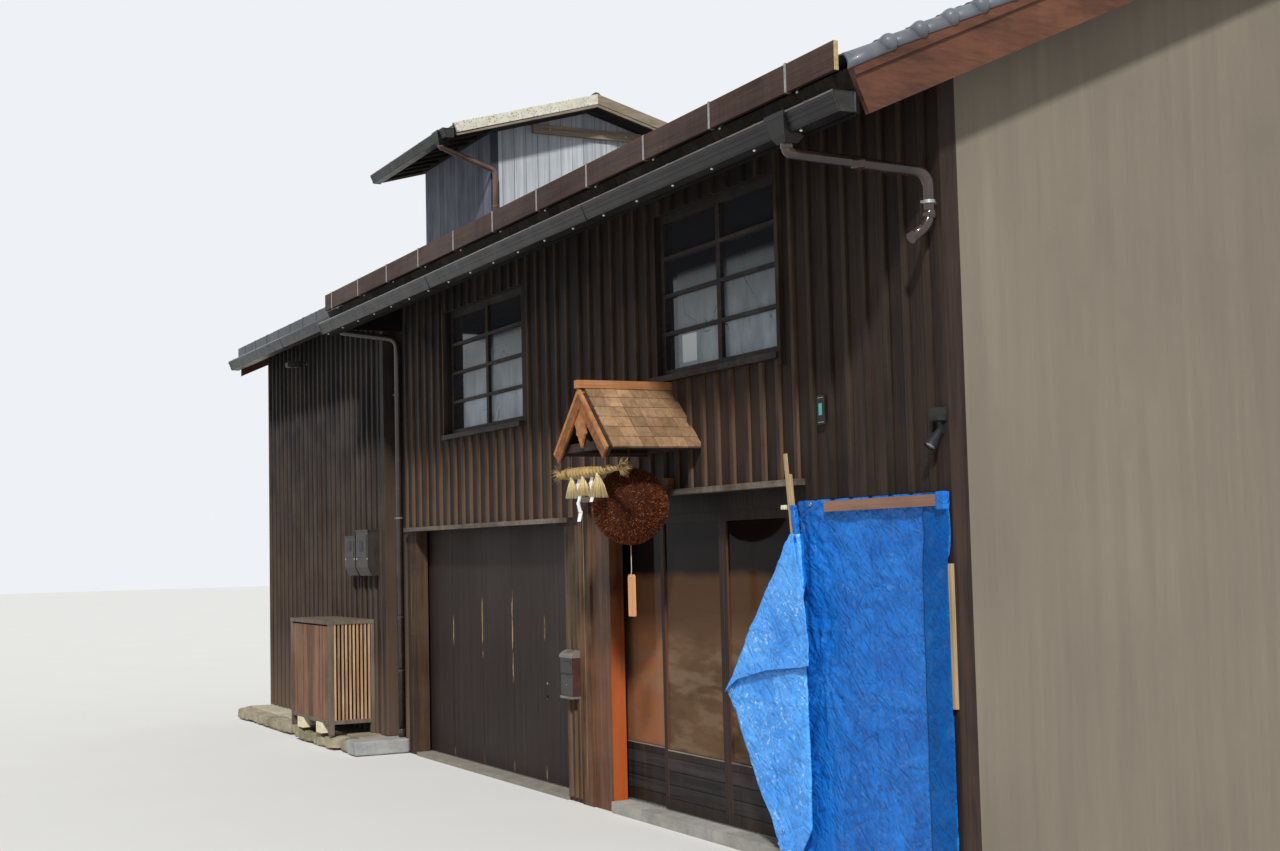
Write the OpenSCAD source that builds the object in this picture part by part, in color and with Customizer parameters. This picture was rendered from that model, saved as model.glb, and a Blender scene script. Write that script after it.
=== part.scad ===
// Timber townhouse of two storeys in a row, with a board-and-batten street front, a tiled gable roof
// and a raised roof over one end.
// X runs along the street front to the right, the front faces -Y, Z is up, and the ground is at z = 0.

/* [Whole house] */
// Depth from the street face to the back face
house_d = 5700; // [5200:10:6400]
// Thickness of the timber walls
wall_t = 100; // [80:5:110]
// Thickness of the ground floor slab
slab_t = 30; // [20:5:45]
// Reach of a door's threshold in front of the street face
threshold_out = 20; // [12:2:30]
// Distance from the shop front's head up to the top of the upper floor
upper_floor_up = 310; // [260:10:360]
// Thickness of the upper floor
upper_floor_t = 120; // [60:5:140]

/* [Street front, from left to right] */
// Length of the left wall
left_wall_w = 3970; // [3700:10:4300]
// Length of the wall beside the wide doorway
side_wall_w = 340; // [320:5:400]
// Width of the left jamb post
jamb_w = 150; // [120:5:180]
// Width of the wide doorway
garage_w = 3104; // [2900:2:3300]
// Width of the pier between the two doorways
pier_w = 236; // [215:1:260]
// Width of the brown post beside the pier
post_w = 177; // [150:1:190]
// Distance from the brown post to the first glass door, behind the jamb board
shop_inset = 33; // [25:1:40]
// Width of the row of glass doors
shop_w = 3120; // [2960:4:3280]
// Length of the wall to the right of the glass doors
right_pier_w = 810; // [760:5:900]
// Width of the jamb board beside the brown post
jamb_board_w = 278; // [240:2:280]

/* [Main roof] */
// Height of the roof deck at the main eave
eave_z = 3805; // [3780:5:3900]
// Rise of the roof for each unit of run
roof_slope = 0.45; // [0.4:0.01:0.5]
// Overhang of the main eave in front of the street face
eave_out = 660; // [560:10:760]
// Overhang of the short eave over the left wall
left_eave_out = 385; // [330:5:420]
// Reach of the short eave past the left wall's end
eave_past = 150; // [120:5:200]
// Depth of the deck below its top, measured upright
deck_t = 100; // [80:5:130]
// Height of the tile bed above the deck, measured upright
tile_t = 55; // [40:5:80]
// Overhang of the right gable edge
right_verge = 260; // [200:10:320]
// Overhang of the left gable edge
left_verge = 120; // [80:10:200]
// Thickness of a gable board
barge_t = 30; // [20:1:40]
// Depth of a gable board, measured upright
barge_h = 245; // [200:5:280]
// Thickness of the upper strip that stands proud of the gable board
barge_strip_t = 14; // [8:1:20]
// Depth of the upper strip
barge_strip_h = 48; // [30:1:60]
// Width of the ridge course
ridge_w = 260; // [200:10:320]
// Height of the ridge course above the tiles
ridge_h = 170; // [120:10:220]
// Radius of the round cap along the ridge
ridge_cap_r = 80; // [60:2:95]
// Height of the cap's top above the ridge course
ridge_cap_up = 20; // [10:1:30]

/* [Eave boards and gutters] */
// Thickness of the eave board
fascia_t = 25; // [18:1:35]
// Lower edge of the main eave board
fascia_low = 3600; // [3570:5:3640]
// Height of the left metal-faced eave board
left_fascia_h = 135; // [110:5:160]
// Height of the snow board
snow_h = 135; // [110:5:160]
// Thickness of the snow board
snow_t = 25; // [18:1:35]
// Distance of the snow board in front of the deck edge
snow_out = 42; // [30:1:60]
// Spacing of the snow board brackets
snow_pitch = 728; // [600:4:800]
// Distance from the end of the left wall to the snow board's left end
snow_inset = 310; // [260:5:360]
// Width of a snow board bracket
snow_bracket = 24; // [16:1:30]
// Thickness of a snow board bracket
snow_bracket_t = 8; // [5:1:10]
// Distance from the snow board's left end to its first bracket
snow_first = 200; // [150:5:250]
// Distance that the snow board reaches below the deck's top edge
snow_drop = 15; // [10:1:20]
// Height of the step board's lower edge above the main eave board's
step_board_up = 60; // [40:5:80]
// Depth of an eave board's face behind the deck edge
fascia_in = 36; // [28:1:45]
// Height of the left eave board above the deck
left_fascia_up = 55; // [40:1:70]
// Width of a gutter
gutter_w = 115; // [95:5:125]
// Height of a gutter
gutter_h = 90; // [70:5:110]
// Top of the main gutter
gutter_z = 3700; // [3680:5:3720]
// Top of the left gutter
left_gutter_z = 3838; // [3820:2:3846]
// Distance from the raised roof's top edge down to its gutter's top
raised_gutter_down = 40; // [30:1:50]
// Distance between the ends of the left and main gutters
gutter_gap = 40; // [25:5:60]
// Thickness of the gutter metal
gutter_t = 6; // [4:1:10]
// Outer radius of a downpipe
pipe_r = 28; // [22:1:34]
// Distance from the right corner to the main downpipe's outlet
outlet_in = 255; // [220:5:300]
// Length of an outlet below its gutter
outlet_h = 80; // [60:5:100]
// Distance from the right corner to the middle of the main downpipe on the wall
pipe_in = 40; // [36:1:60]
// Reach and drop of the open shoe at the main downpipe's foot
shoe = [110, 80];
// Distance from the step between the eaves to the left downpipe's outlet
left_outlet_in = 230; // [200:5:260]
// Height at which the main downpipe meets the wall
pipe_wall_z = 3440; // [3400:5:3480]
// Height at which the main downpipe turns out again
pipe_foot_z = 3200; // [3160:5:3240]
// Height at which the left downpipe meets the wall
left_pipe_z = 3590; // [3550:5:3630]
// Thickness of the socket at a downpipe's bend
socket_t = 5; // [4:0.5:8]
// Distance from a downpipe to the wall behind it
pipe_gap = 6; // [3:1:12]

/* [Left wall] */
// Distance that the left wall stands in front of the rest
left_step = 100; // [80:5:120]
// Thickness of the left wall
left_wall_t = 120; // [100:5:125]
// Height of the stone ledge at its foot
ledge_h = 130; // [100:5:160]
// Reach of the ledge in front of the street face
ledge_out = 540; // [500:5:580]
// Reach of the ledge past the left wall's end
ledge_past = 270; // [240:5:300]

/* [Wide board door] */
// Height of the wide doorway
garage_h = 1895; // [1860:5:1930]
// Thickness of the sliding board door
garage_door_t = 36; // [30:1:40]
// Overlap of the board door past the sides of its doorway
garage_lap = 40; // [25:5:60]
// Gap between the wall and the board door
garage_gap = 24; // [15:1:30]
// Height that the board door reaches above its doorway
garage_over = 20; // [12:1:30]
// Radius of the round pull in the board door
pull_r = 22; // [18:1:26]
// Depth of the round pull
pull_t = 12; // [8:1:16]
// Distance from the board door's right side of the doorway to its pull
pull_in = 640; // [600:5:680]
// Height of the pull
pull_z = 640; // [600:5:700]
// Height of the floor rail under the board door
rail_h = 8; // [6:1:12]
// Width of a floor rail
rail_w = 12; // [8:1:16]
// Running gap between a door and its rail
run_gap = 0.3; // [0.2:0.1:0.5]

/* [Shop front] */
// Height of the shop front opening in the wall
shop_h = 2020; // [1990:5:2050]
// Depth of the grooved head below the top of the opening
head_drop = 105; // [90:5:130]
// Thickness of the stone sill
sill_t = 72; // [55:1:85]
// Thickness of a glass door
door_t = 30; // [26:1:32]
// Distance between the two door tracks
track_pitch = 42; // [38:1:46]
// Overlap of neighbouring glass doors
door_lap = 40; // [30:2:50]
// Room between a closed glass door and its jamb or its neighbour
door_room = 5; // [5:0.5:8]
// Width of a glass door's stile
stile_w = 42; // [36:1:50]
// Height of a glass door's top rail
top_rail_h = 60; // [45:5:75]
// Lower edge of the glass above the ground
glass_low = 450; // [420:5:480]
// Height of the rail under the glass
mid_rail_h = 50; // [40:5:60]
// Height of a glass door's bottom rail
bottom_rail_h = 70; // [50:5:90]
// Thickness of the boards in a glass door's foot
foot_board_t = 14; // [10:1:18]
// Thickness of door glass
glass_t = 5; // [4:1:6]
// Width of the door frame's side posts
frame_w = 60; // [50:5:80]
// Depth of a groove in the head
groove_h = 22; // [18:1:26]
// Height that a door reaches into its groove
groove_in = 12; // [8:1:14]
// Room beside a door in its groove
groove_room = 5; // [5:0.5:6]
// Distance that the brown post stands proud of the street face
post_out = 14; // [8:1:20]
// Height of the door frame's head above the opening
head_over = 60; // [45:5:80]
// Room between a glass door and the edge of its frame or the next track
track_room = 12; // [10:1:14]

/* [Upper windows] */
// Distance from the wide doorway's left side to the left window
win1_in = 810; // [760:5:860]
// Width of the left window
win1_w = 1580; // [1500:5:1650]
// Sill height of the left window
win1_z = 2660; // [2600:5:2700]
// Distance from the first glass door to the right window
win2_in = 1000; // [950:5:1050]
// Width of the right window
win2_w = 1450; // [1400:5:1500]
// Sill height of the right window
win2_z = 2755; // [2700:5:2800]
// Height of a window
win_h = 1010; // [940:5:1040]
// Width of a window's outer frame
win_frame = 45; // [35:1:55]
// Width of a window's glazing bar
win_bar = 24; // [18:1:30]
// Depth of a window's frame
win_depth = 50; // [40:1:60]
// Set-back of a window's frame from the street face
win_back = 40; // [20:1:44]
// Thickness of window glass
pane_t = 4; // [3:1:6]
// Height of a window's sill board
sill_board_h = 36; // [28:1:45]
// Reach of a sill board in front of the wall
sill_board_out = 45; // [30:1:60]
// Reach of a sill board past each side of its window
sill_board_past = 30; // [20:1:45]

/* [Drip boards] */
// Reach of a drip board in front of the wall
drip_out = 62; // [55:1:80]
// Thickness of a drip board
drip_t = 34; // [25:1:40]
// Reach of the left drip board past the wide doorway, and of the right one past the sheet's left edge
drip_past = 30; // [20:5:60]

/* [Raised roof] */
// Distance of its front wall behind the street face
raised_y = 1730; // [1650:10:1800]
// Length of the raised part along the street
raised_w = 2005; // [1900:5:2100]
// Height of its ridge
raised_ridge_z = 6520; // [6450:10:6600]
// Rise of its roof for each unit of run
raised_slope = 0.28; // [0.26:0.01:0.31]
// Overhang of its eaves
raised_eave = 510; // [440:10:560]
// Overhang of its right gable edge
raised_verge = 300; // [250:5:340]
// Thickness of its roof, measured upright
raised_roof_t = 120; // [100:5:130]
// Thickness of its walls
raised_wall_t = 90; // [70:5:110]
// Thickness of its gable boards
raised_barge_t = 28; // [20:1:35]
// Height of the tie beam in its gable
tie_h = 95; // [80:5:110]
// Underside of the tie beam
tie_z = 6125; // [6080:5:6150]
// Distance that the tie beam stands proud of the gable
tie_out = 45; // [30:5:60]
// Depth of its gable boards, measured upright
raised_barge_h = 140; // [120:5:160]
// Height of its gable boards above the roof
raised_barge_up = 20; // [10:1:30]
// Radius of its round ridge
raised_cap_r = 55; // [40:1:70]
// Distance from its right wall to its downpipe
raised_pipe_off = 60; // [50:1:80]
// Drop of its downpipe from the gutter back to the wall's corner
raised_pipe_drop = 240; // [220:5:280]
// Height by which its round ridge's centre lies below the top
raised_cap_down = 10; // [5:1:20]

/* [Canopy and cedar ball] */
// Distance from the first glass door to the canopy's centre line
canopy_in = 1175; // [1120:5:1220]
// Reach of the canopy in front of the wall
canopy_out = 590; // [560:5:620]
// Half the width of the canopy
canopy_half = 375; // [350:5:400]
// Distance from the right window's sill down to the canopy's ridge
canopy_down = 85; // [80:5:110]
// Drop of the canopy's roof from ridge to eave
canopy_drop = 375; // [350:5:390]
// Thickness of the canopy's roof, measured upright
canopy_t = 34; // [26:1:40]
// Thickness of the canopy's front boards
canopy_barge_t = 22; // [18:1:28]
// Depth of the canopy's front boards, measured upright
canopy_barge_h = 105; // [85:5:115]
// Side of the canopy's square ridge batten
ridge_batten = 48; // [36:1:55]
// Reach of the ridge batten past the front boards
batten_reach = 30; // [15:5:50]
// Depth that the ridge batten is let into the canopy's roof
batten_in = 6; // [4:1:12]
// Side of the canopy's frame timbers
canopy_beam = 50; // [40:1:60]
// Distance from the canopy's centre line to a bracket's middle
bracket_x = 270; // [240:5:290]
// Radius of the cedar ball
ball_r = 236; // [210:2:240]
// Gap between the ball and the drip board behind it
ball_gap = 1; // [1:1:6]
// Distance from the canopy's ridge down to the ball's centre
ball_drop = 710; // [690:5:730]
// Radius of the straw rope at its middle
rope_r = 30; // [24:1:36]
// Length of the straw rope
rope_len = 980; // [900:10:1050]
// Distance from the canopy's ridge down to the straw rope
rope_drop = 500; // [490:5:520]
// Length of a straw tassel below the rope's middle
tassel_h = 170; // [140:5:190]
// Radius of a straw tassel at its foot
tassel_r = 46; // [36:1:52]
// Places of the tassels along the rope, from its middle
tassel_at = [-210, -60, 150];
// Radius of the cords that hold the ball, rope and tag
cord_r = 6; // [4:0.5:8]
// Width, thickness and height of the wooden tag
tag_size = [82, 12, 250];
// Distance from the ball's centre down to the tag's lower edge
tag_drop = 660; // [620:5:700]

/* [Small fittings] */
// Width, depth and height of the letter box
mailbox_size = [205, 78, 330];
// Lower edge of the letter box
mailbox_z = 700; // [660:5:740]
// Width, depth and height of the large meter housing
meter_size = [345, 130, 410];
// Width, depth and height of the small meter housing
small_meter_size = [310, 130, 360];
// Lower edge of the meter housings
meter_z = 1520; // [1450:5:1560]
// Distance from the left wall's end to the large meter housing's right side
meter_in = 155; // [120:5:200]
// Distance between the right sides of the two meter housings
meter_pitch = 375; // [360:5:400]
// Distance that a meter housing's foot slopes back
meter_lean = 60; // [30:2:80]
// Height of a meter housing's sloping foot
meter_foot_h = 130; // [100:5:160]
// Width, depth and height of the slatted equipment cover
cover_size = [1255, 435, 965];
// Distance from the left wall's end to the equipment cover's right side
cover_in = 340; // [300:5:400]
// Height of the cover's legs
leg_h = 35; // [25:1:60]
// Width of the cover's frame posts
cover_post = 45; // [36:1:55]
// Thickness of the cover's top
cover_top_t = 30; // [24:1:36]
// Thickness of the cover's slats
slat_t = 14; // [10:1:18]
// Distance that the slats are set in from the cover's posts
slat_in = 8; // [5:1:12]
// Distance from the left wall's end to the upper lamp
arm_lamp_in = 2473; // [2400:5:2550]
// Height of the upper lamp's arm
arm_lamp_z = 3665; // [3640:5:3690]
// Reach of the upper lamp's arm
arm_len = 90; // [60:5:120]
// Radius of the upper lamp's arm
arm_r = 9; // [6:0.5:12]
// Radius and thickness of its round wall plate
arm_plate = [30, 12];
// Width, depth and height of the upper lamp's head
arm_head = [100, 135, 60];
// Distance that the arm reaches into the head
arm_in = 10; // [6:1:20]
// Distance from the right corner to the small lamp
spot_in = 45; // [35:1:60]
// Height of the small lamp's joint above the shop front's head
spot_up = 206; // [180:2:230]
// Width, depth and height of the sensor box over the small lamp
sensor_size = [64, 50, 62];
// Height of the sensor box above the small lamp's joint
sensor_up = 40; // [34:1:50]
// Width and depth of the bracket behind the small lamp
spot_bracket = [24, 24];
// Length of the small lamp
spot_len = 105; // [90:5:130]
// Radius of the small lamp's face
spot_r = 32; // [26:1:40]
// Angle of the small lamp below level
spot_tilt = 52; // [40:1:60]

/* [Blue sheet] */
// Distance that the sheet starts to the left of the right wall
tarp_in = 480; // [450:5:500]
// Distance from the sheet's right edge to the corner
tarp_edge = 5; // [0:1:20]
// Distance from the shop front's head down to the hung sheet's top edge
tarp_down = 85; // [70:5:120]
// Height of the sheet's lower edge above the ground
tarp_low = 50; // [30:5:80]
// Thickness of the space that the sheet's folds fill
tarp_t = 24; // [16:1:28]
// Width of the fold that turns the flap forward
fold_w = 160; // [130:5:190]
// Reach of the turned-back flap to the left
flap_reach = 690; // [640:10:720]
// Thickness of the space that the flap's layers fill
flap_t = 40; // [30:2:50]
// Lower edge of the flap
flap_low = 80; // [76:1:110]
// Height of the flap's tip
flap_tip_z = 870; // [820:10:920]
// Height of the blunt end at the flap's tip
flap_tip_h = 135; // [110:5:160]
// Height of the flap's upper edge half way to its tip
flap_shoulder_z = 1410; // [1360:10:1460]
// Top of the fold that turns the flap forward
fold_top = 1060; // [1000:10:1150]
// Width of the light battens that hold the sheet
batten_w = 55; // [40:1:65]
// Thickness of the light battens
batten_t = 20; // [15:1:24]
// Distance from the sheet's left edge to the top batten
top_batten_in = 270; // [240:5:300]
// Distance from the sheet's top edge down to the top batten's lower edge
top_batten_down = 65; // [55:1:80]
// Width of the batten that leans over the drip board
drip_batten_w = 42; // [36:1:50]
// Distance from the sheet's left edge to that batten's lower end
drip_batten_in = 45; // [30:1:60]
// Lower end of the batten that leans over the drip board
drip_batten_z = 1545; // [1500:5:1600]
// Length of the batten that leans over the drip board
drip_batten_len = 650; // [600:5:700]
// Angle of the batten that leans over the drip board
drip_batten_lean = 7; // [5:0.5:12]
// Lower end of the batten at the sheet's right edge
side_batten_z = 930; // [900:10:980]
// Length of the batten at the sheet's right edge
side_batten_len = 670; // [600:10:700]

/* [Hidden] */
$fn = 48;
// Gap that pieces keep where they meet without being joined
seat = 0.3;
small = 0.02;
upper_floor_z = shop_h + upper_floor_up;
head_z = shop_h - head_drop;
canopy_z = win2_z - canopy_down;
ball_out = drip_out + ball_gap + ball_r;
ball_z = canopy_z - ball_drop;
rope_z = canopy_z - rope_drop;
tag_z = ball_z - tag_drop;
spot_z = shop_h + spot_up;
tarp_z = shop_h - tarp_down;
half_w = (left_wall_w + side_wall_w + jamb_w + garage_w + pier_w + post_w + shop_inset + shop_w
    + right_pier_w) / 2;
left_wall_end = -half_w + left_wall_w;
garage_x = left_wall_end + side_wall_w + jamb_w;
garage_end = garage_x + garage_w;
pier_end = garage_end + pier_w;
jamb_board_x = pier_end + post_w;
shop_x = jamb_board_x + shop_inset;
shop_end = shop_x + shop_w;
ridge_y = house_d / 2;
deck_front = -eave_out;
verge_x = half_w + right_verge;
left_verge_x = -half_w - left_verge;
deck_right = verge_x - barge_t;
deck_left = left_verge_x + barge_t;
eave_step_x = left_wall_end + eave_past;
fascia_y = deck_front + fascia_in;
ledge_end = left_wall_end + ledge_past;
snow_left = left_wall_end + snow_inset;
foot_z = slab_t + rail_h + run_gap;
garage_door_y = wall_t + garage_gap;
track_y = wall_t + track_room;
glass_door_w = (shop_w / 2 + door_lap - 1.5 * door_room) / 2;
door_low = sill_t + rail_h + run_gap;
door_high = head_z + groove_in;
head_d = track_pitch + door_t + 2 * track_room;
win1_x = garage_x + win1_in;
win2_x = shop_x + win2_in;
raised_left = -half_w;
raised_right = raised_left + raised_w;
raised_back = house_d - raised_y;
raised_front_edge = raised_y - raised_eave;
canopy_x = shop_x + canopy_in;
mailbox_x = pier_end - 2;
meter_x = left_wall_end - meter_in;
cover_x = left_wall_end - cover_in;
tarp_x = shop_end - tarp_in;
tarp_end = half_w - tarp_edge;

function deck_top(y) = eave_z + roof_slope * (min(y, house_d - y) + eave_out);
function deck_low(y) = deck_top(y) - deck_t;
function tile_top(y) = deck_top(y) + tile_t;
function raised_top(y) = raised_ridge_z - raised_slope * abs(y - ridge_y);
function raised_low(y) = raised_top(y) - raised_roof_t;
// Upright cut made square to the slope: how far the lower edge of a board of upright depth h moves in
function square_in(h, s) = h * s / (1 + s * s);

// A profile in Y and Z drawn out along X
module along_x(x0, x1, pts) {
    translate([x0, 0, 0]) rotate([90, 0, 90]) linear_extrude(x1 - x0) polygon(pts);
}
module block(a, b) {
    translate(a) cube(b - a);
}
// A wall along the street whose top follows the underside of the roof
module roofed_wall(x0, x1, y0, y1, z0) {
    along_x(x0, x1, [[y0, z0], [y1, z0], [y1, deck_low(y1)], [y0, deck_low(y0)]]);
}
// A party wall under the whole roof
module gable_wall(x0, x1, y0, y1) {
    along_x(x0, x1, [[y0, 0], [y1, 0], [y1, deck_low(y1)], [ridge_y, deck_low(ridge_y)], [y0, deck_low(y0)]]);
}
module windows_cut(y0) {
    block([win1_x, y0 - 1, win1_z], [win1_x + win1_w, y0 + wall_t + 1, win1_z + win_h]);
    block([win2_x, y0 - 1, win2_z], [win2_x + win2_w, y0 + wall_t + 1, win2_z + win_h]);
}

module ground_floor() {
    color("gray") {
        block([-half_w + wall_t, wall_t, 0], [half_w - wall_t, house_d - wall_t, slab_t]);
        block([-half_w + wall_t, left_wall_t - left_step, 0], [left_wall_end, wall_t + 1, slab_t]);
        block([garage_x, -threshold_out, 0], [garage_end, wall_t + 1, slab_t]);
    }
}
module upper_floor() {
    color("sienna") block([-half_w + wall_t, wall_t, upper_floor_z - upper_floor_t],
        [half_w - wall_t, house_d - wall_t, upper_floor_z]);
}
module stone_ledge() {
    color("darkgray") {
        block([-half_w, -ledge_out, 0], [left_wall_end, left_wall_t - left_step - small, ledge_h]);
        block([left_wall_end - 1, -ledge_out, 0], [ledge_end, -small, ledge_h]);
    }
}
module stone_sill() {
    color("darkgray") {
        block([shop_x - frame_w, wall_t, slab_t], [shop_end + frame_w, wall_t + head_d, sill_t]);
        block([jamb_board_x + jamb_board_w, -threshold_out, 0], [shop_end, wall_t - small, sill_t]);
        block([jamb_board_x + jamb_board_w, 0, slab_t + small], [shop_end, wall_t + 1, sill_t]);
    }
}
module left_party_wall() {
    color("tan") gable_wall(-half_w, -half_w + wall_t, left_wall_t - left_step, house_d - wall_t);
}
module right_party_wall() {
    color("tan") gable_wall(half_w - wall_t, half_w, wall_t, house_d - wall_t);
}
module back_wall() {
    color("saddlebrown") difference() {
        roofed_wall(-half_w, half_w, house_d - wall_t, house_d, 0);
        windows_cut(house_d - wall_t);
    }
}
module front_wall_left() {
    color("saddlebrown") roofed_wall(-half_w, left_wall_end, -left_step, left_wall_t - left_step, ledge_h);
}
module front_wall_over_garage() {
    color("saddlebrown") difference() {
        roofed_wall(left_wall_end, pier_end, 0, wall_t, garage_h);
        windows_cut(0);
    }
}
module front_wall_over_shop() {
    color("saddlebrown") difference() {
        roofed_wall(pier_end, half_w, 0, wall_t, shop_h);
        windows_cut(0);
    }
}
module garage_side_wall() {
    color("saddlebrown") block([left_wall_end, 0, 0], [garage_x - jamb_w, wall_t, garage_h]);
}
module centre_pier() {
    color("saddlebrown") block([garage_end, 0, 0], [pier_end, wall_t, garage_h]);
}
module right_pier() {
    color("saddlebrown") block([shop_end, 0, 0], [half_w, wall_t, shop_h]);
}
module street_posts() {
    color("peru") {
        block([garage_x - jamb_w, 0, 0], [garage_x, wall_t, garage_h]);
        block([pier_end, -post_out, 0], [jamb_board_x, wall_t, shop_h]);
        block([jamb_board_x, 0, 0], [jamb_board_x + jamb_board_w, wall_t, shop_h]);
    }
}
module drip_boards() {
    color("dimgray") {
        block([garage_x - jamb_w, -drip_out, garage_h], [garage_end + drip_past, 0, garage_h + drip_t]);
        block([jamb_board_x, -drip_out, shop_h], [tarp_x + drip_past, 0, shop_h + drip_t]);
    }
}
module garage_door() {
    color("sienna") difference() {
        block([garage_x - garage_lap, garage_door_y, foot_z],
            [garage_end + garage_lap, garage_door_y + garage_door_t, garage_h + garage_over]);
        translate([garage_end - pull_in, garage_door_y - 1, pull_z]) rotate([-90, 0, 0])
            cylinder(r = pull_r, h = pull_t + 1);
    }
}
module shop_door_frame() {
    color("saddlebrown") {
        difference() {
            block([shop_x - frame_w, wall_t, head_z],
                [shop_end + frame_w, wall_t + head_d, shop_h + head_over]);
            for (k = [0, 1])
                block([shop_x, track_y + k * track_pitch - groove_room, head_z - 1],
                    [shop_end, track_y + k * track_pitch + door_t + groove_room, head_z + groove_h]);
        }
        block([shop_x - frame_w, wall_t, sill_t], [shop_x, wall_t + head_d, head_z + 1]);
        block([shop_end, wall_t, sill_t], [shop_end + frame_w, wall_t + head_d, head_z + 1]);
    }
}
module door_rails() {
    color("slategray") {
        for (k = [0, 1])
            block([shop_x, track_y + k * track_pitch + (door_t - rail_w) / 2, sill_t],
                [shop_end, track_y + k * track_pitch + (door_t + rail_w) / 2, sill_t + rail_h]);
        block([-half_w + wall_t, garage_door_y + (garage_door_t - rail_w) / 2, slab_t],
            [garage_end + garage_lap, garage_door_y + (garage_door_t + rail_w) / 2, slab_t + rail_h]);
    }
}
// Left edge of glass door n, counted from the left; the middle two run on the front track
function door_left(n) = n == 1 ? shop_x + door_room
    : n == 2 ? shop_x + (shop_w - door_room) / 2 - glass_door_w
    : n == 3 ? shop_x + (shop_w + door_room) / 2 : shop_end - door_room - glass_door_w;
function door_y(n) = (n == 2 || n == 3) ? track_y : track_y + track_pitch;
module glass_door(n) {
    x0 = door_left(n);
    y0 = door_y(n);
    color("saddlebrown") {
        difference() {
            block([x0, y0, door_low], [x0 + glass_door_w, y0 + door_t, door_high]);
            block([x0 + stile_w, y0 - 1, glass_low],
                [x0 + glass_door_w - stile_w, y0 + door_t + 1, head_z - top_rail_h]);
            for (side = [-1, 1])
                translate([x0 + stile_w, y0 + (side > 0 ? (door_t + foot_board_t) / 2 : -1),
                    door_low + bottom_rail_h])
                    cube([glass_door_w - 2 * stile_w, (door_t - foot_board_t) / 2 + 1,
                        glass_low - mid_rail_h - door_low - bottom_rail_h]);
        }
    }
}
module door_glass(n) {
    x0 = door_left(n);
    y0 = door_y(n) + (door_t - glass_t) / 2;
    color("lightblue") block([x0 + stile_w, y0, glass_low],
        [x0 + glass_door_w - stile_w, y0 + glass_t, head_z - top_rail_h]);
}
// One window: outer frame, middle post and three glazing bars, with its sill board on the street side
module window(x, z, w, y0, face, out) {
    cell_w = (w - 2 * win_frame - 2 * win_bar) / 2;
    cell_h = (win_h - 2 * win_frame - 3 * win_bar) / 4;
    difference() {
        block([x, y0, z], [x + w, y0 + win_depth, z + win_h]);
        for (col = [0, 1], row = [0:3]) {
            cell_x = x + win_frame + col * (cell_w + 2 * win_bar);
            cell_z = z + win_frame + row * (cell_h + win_bar);
            block([cell_x, y0 - 1, cell_z], [cell_x + cell_w, y0 + win_depth + 1, cell_z + cell_h]);
        }
        // Rebate for the glass
        block([x + win_frame / 2, y0 + (win_depth - pane_t) / 2, z + win_frame / 2],
            [x + w - win_frame / 2, y0 + (win_depth + pane_t) / 2, z + win_h - win_frame / 2]);
    }
    block([x - sill_board_past, min(out, face), z - sill_board_h],
        [x + w + sill_board_past, max(out, face), z]);
}
module window_frames() {
    back_y = house_d - win_back - win_depth;
    color("saddlebrown") {
        window(win1_x, win1_z, win1_w, win_back, 0, -sill_board_out);
        window(win2_x, win2_z, win2_w, win_back, 0, -sill_board_out);
        window(win1_x, win1_z, win1_w, back_y, house_d, house_d + sill_board_out);
        window(win2_x, win2_z, win2_w, back_y, house_d, house_d + sill_board_out);
    }
}
module pane(x, z, w, y0) {
    block([x + win_frame / 2, y0 + (win_depth - pane_t) / 2, z + win_frame / 2],
        [x + w - win_frame / 2, y0 + (win_depth + pane_t) / 2, z + win_h - win_frame / 2]);
}
module window_glass() {
    back_y = house_d - win_back - win_depth;
    color("lightblue") {
        pane(win1_x, win1_z, win1_w, win_back);
        pane(win2_x, win2_z, win2_w, win_back);
        pane(win1_x, win1_z, win1_w, back_y);
        pane(win2_x, win2_z, win2_w, back_y);
    }
}
// One slope of the roof from an eave at y = edge up to the ridge
module front_slope(x0, x1, edge) {
    cut = square_in(deck_t, roof_slope);
    along_x(x0, x1, [[edge, deck_top(edge)], [edge + cut, deck_top(edge) - deck_t + cut * roof_slope],
        [ridge_y, deck_low(ridge_y)], [ridge_y, tile_top(ridge_y)], [edge, tile_top(edge)]]);
}
module roof_front() {
    color("slategray") {
        front_slope(eave_step_x, deck_right, deck_front);
        front_slope(deck_left, eave_step_x + 1, -left_eave_out);
    }
}
module roof_back() {
    color("slategray") translate([0, house_d, 0]) mirror([0, 1, 0])
        front_slope(deck_left, deck_right, deck_front);
}
module roof_ridge() {
    z0 = tile_top(ridge_y);
    half = ridge_w / 2;
    cap_z = z0 + ridge_h - ridge_cap_r + ridge_cap_up;
    color("dimgray") {
        along_x(raised_right, deck_right, [[ridge_y - half, tile_top(ridge_y - half)], [ridge_y, z0],
            [ridge_y + half, tile_top(ridge_y + half)], [ridge_y + half, cap_z], [ridge_y - half, cap_z]]);
        translate([raised_right, ridge_y, cap_z]) rotate([0, 90, 0])
            cylinder(r = ridge_cap_r, h = deck_right - raised_right);
    }
}
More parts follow.
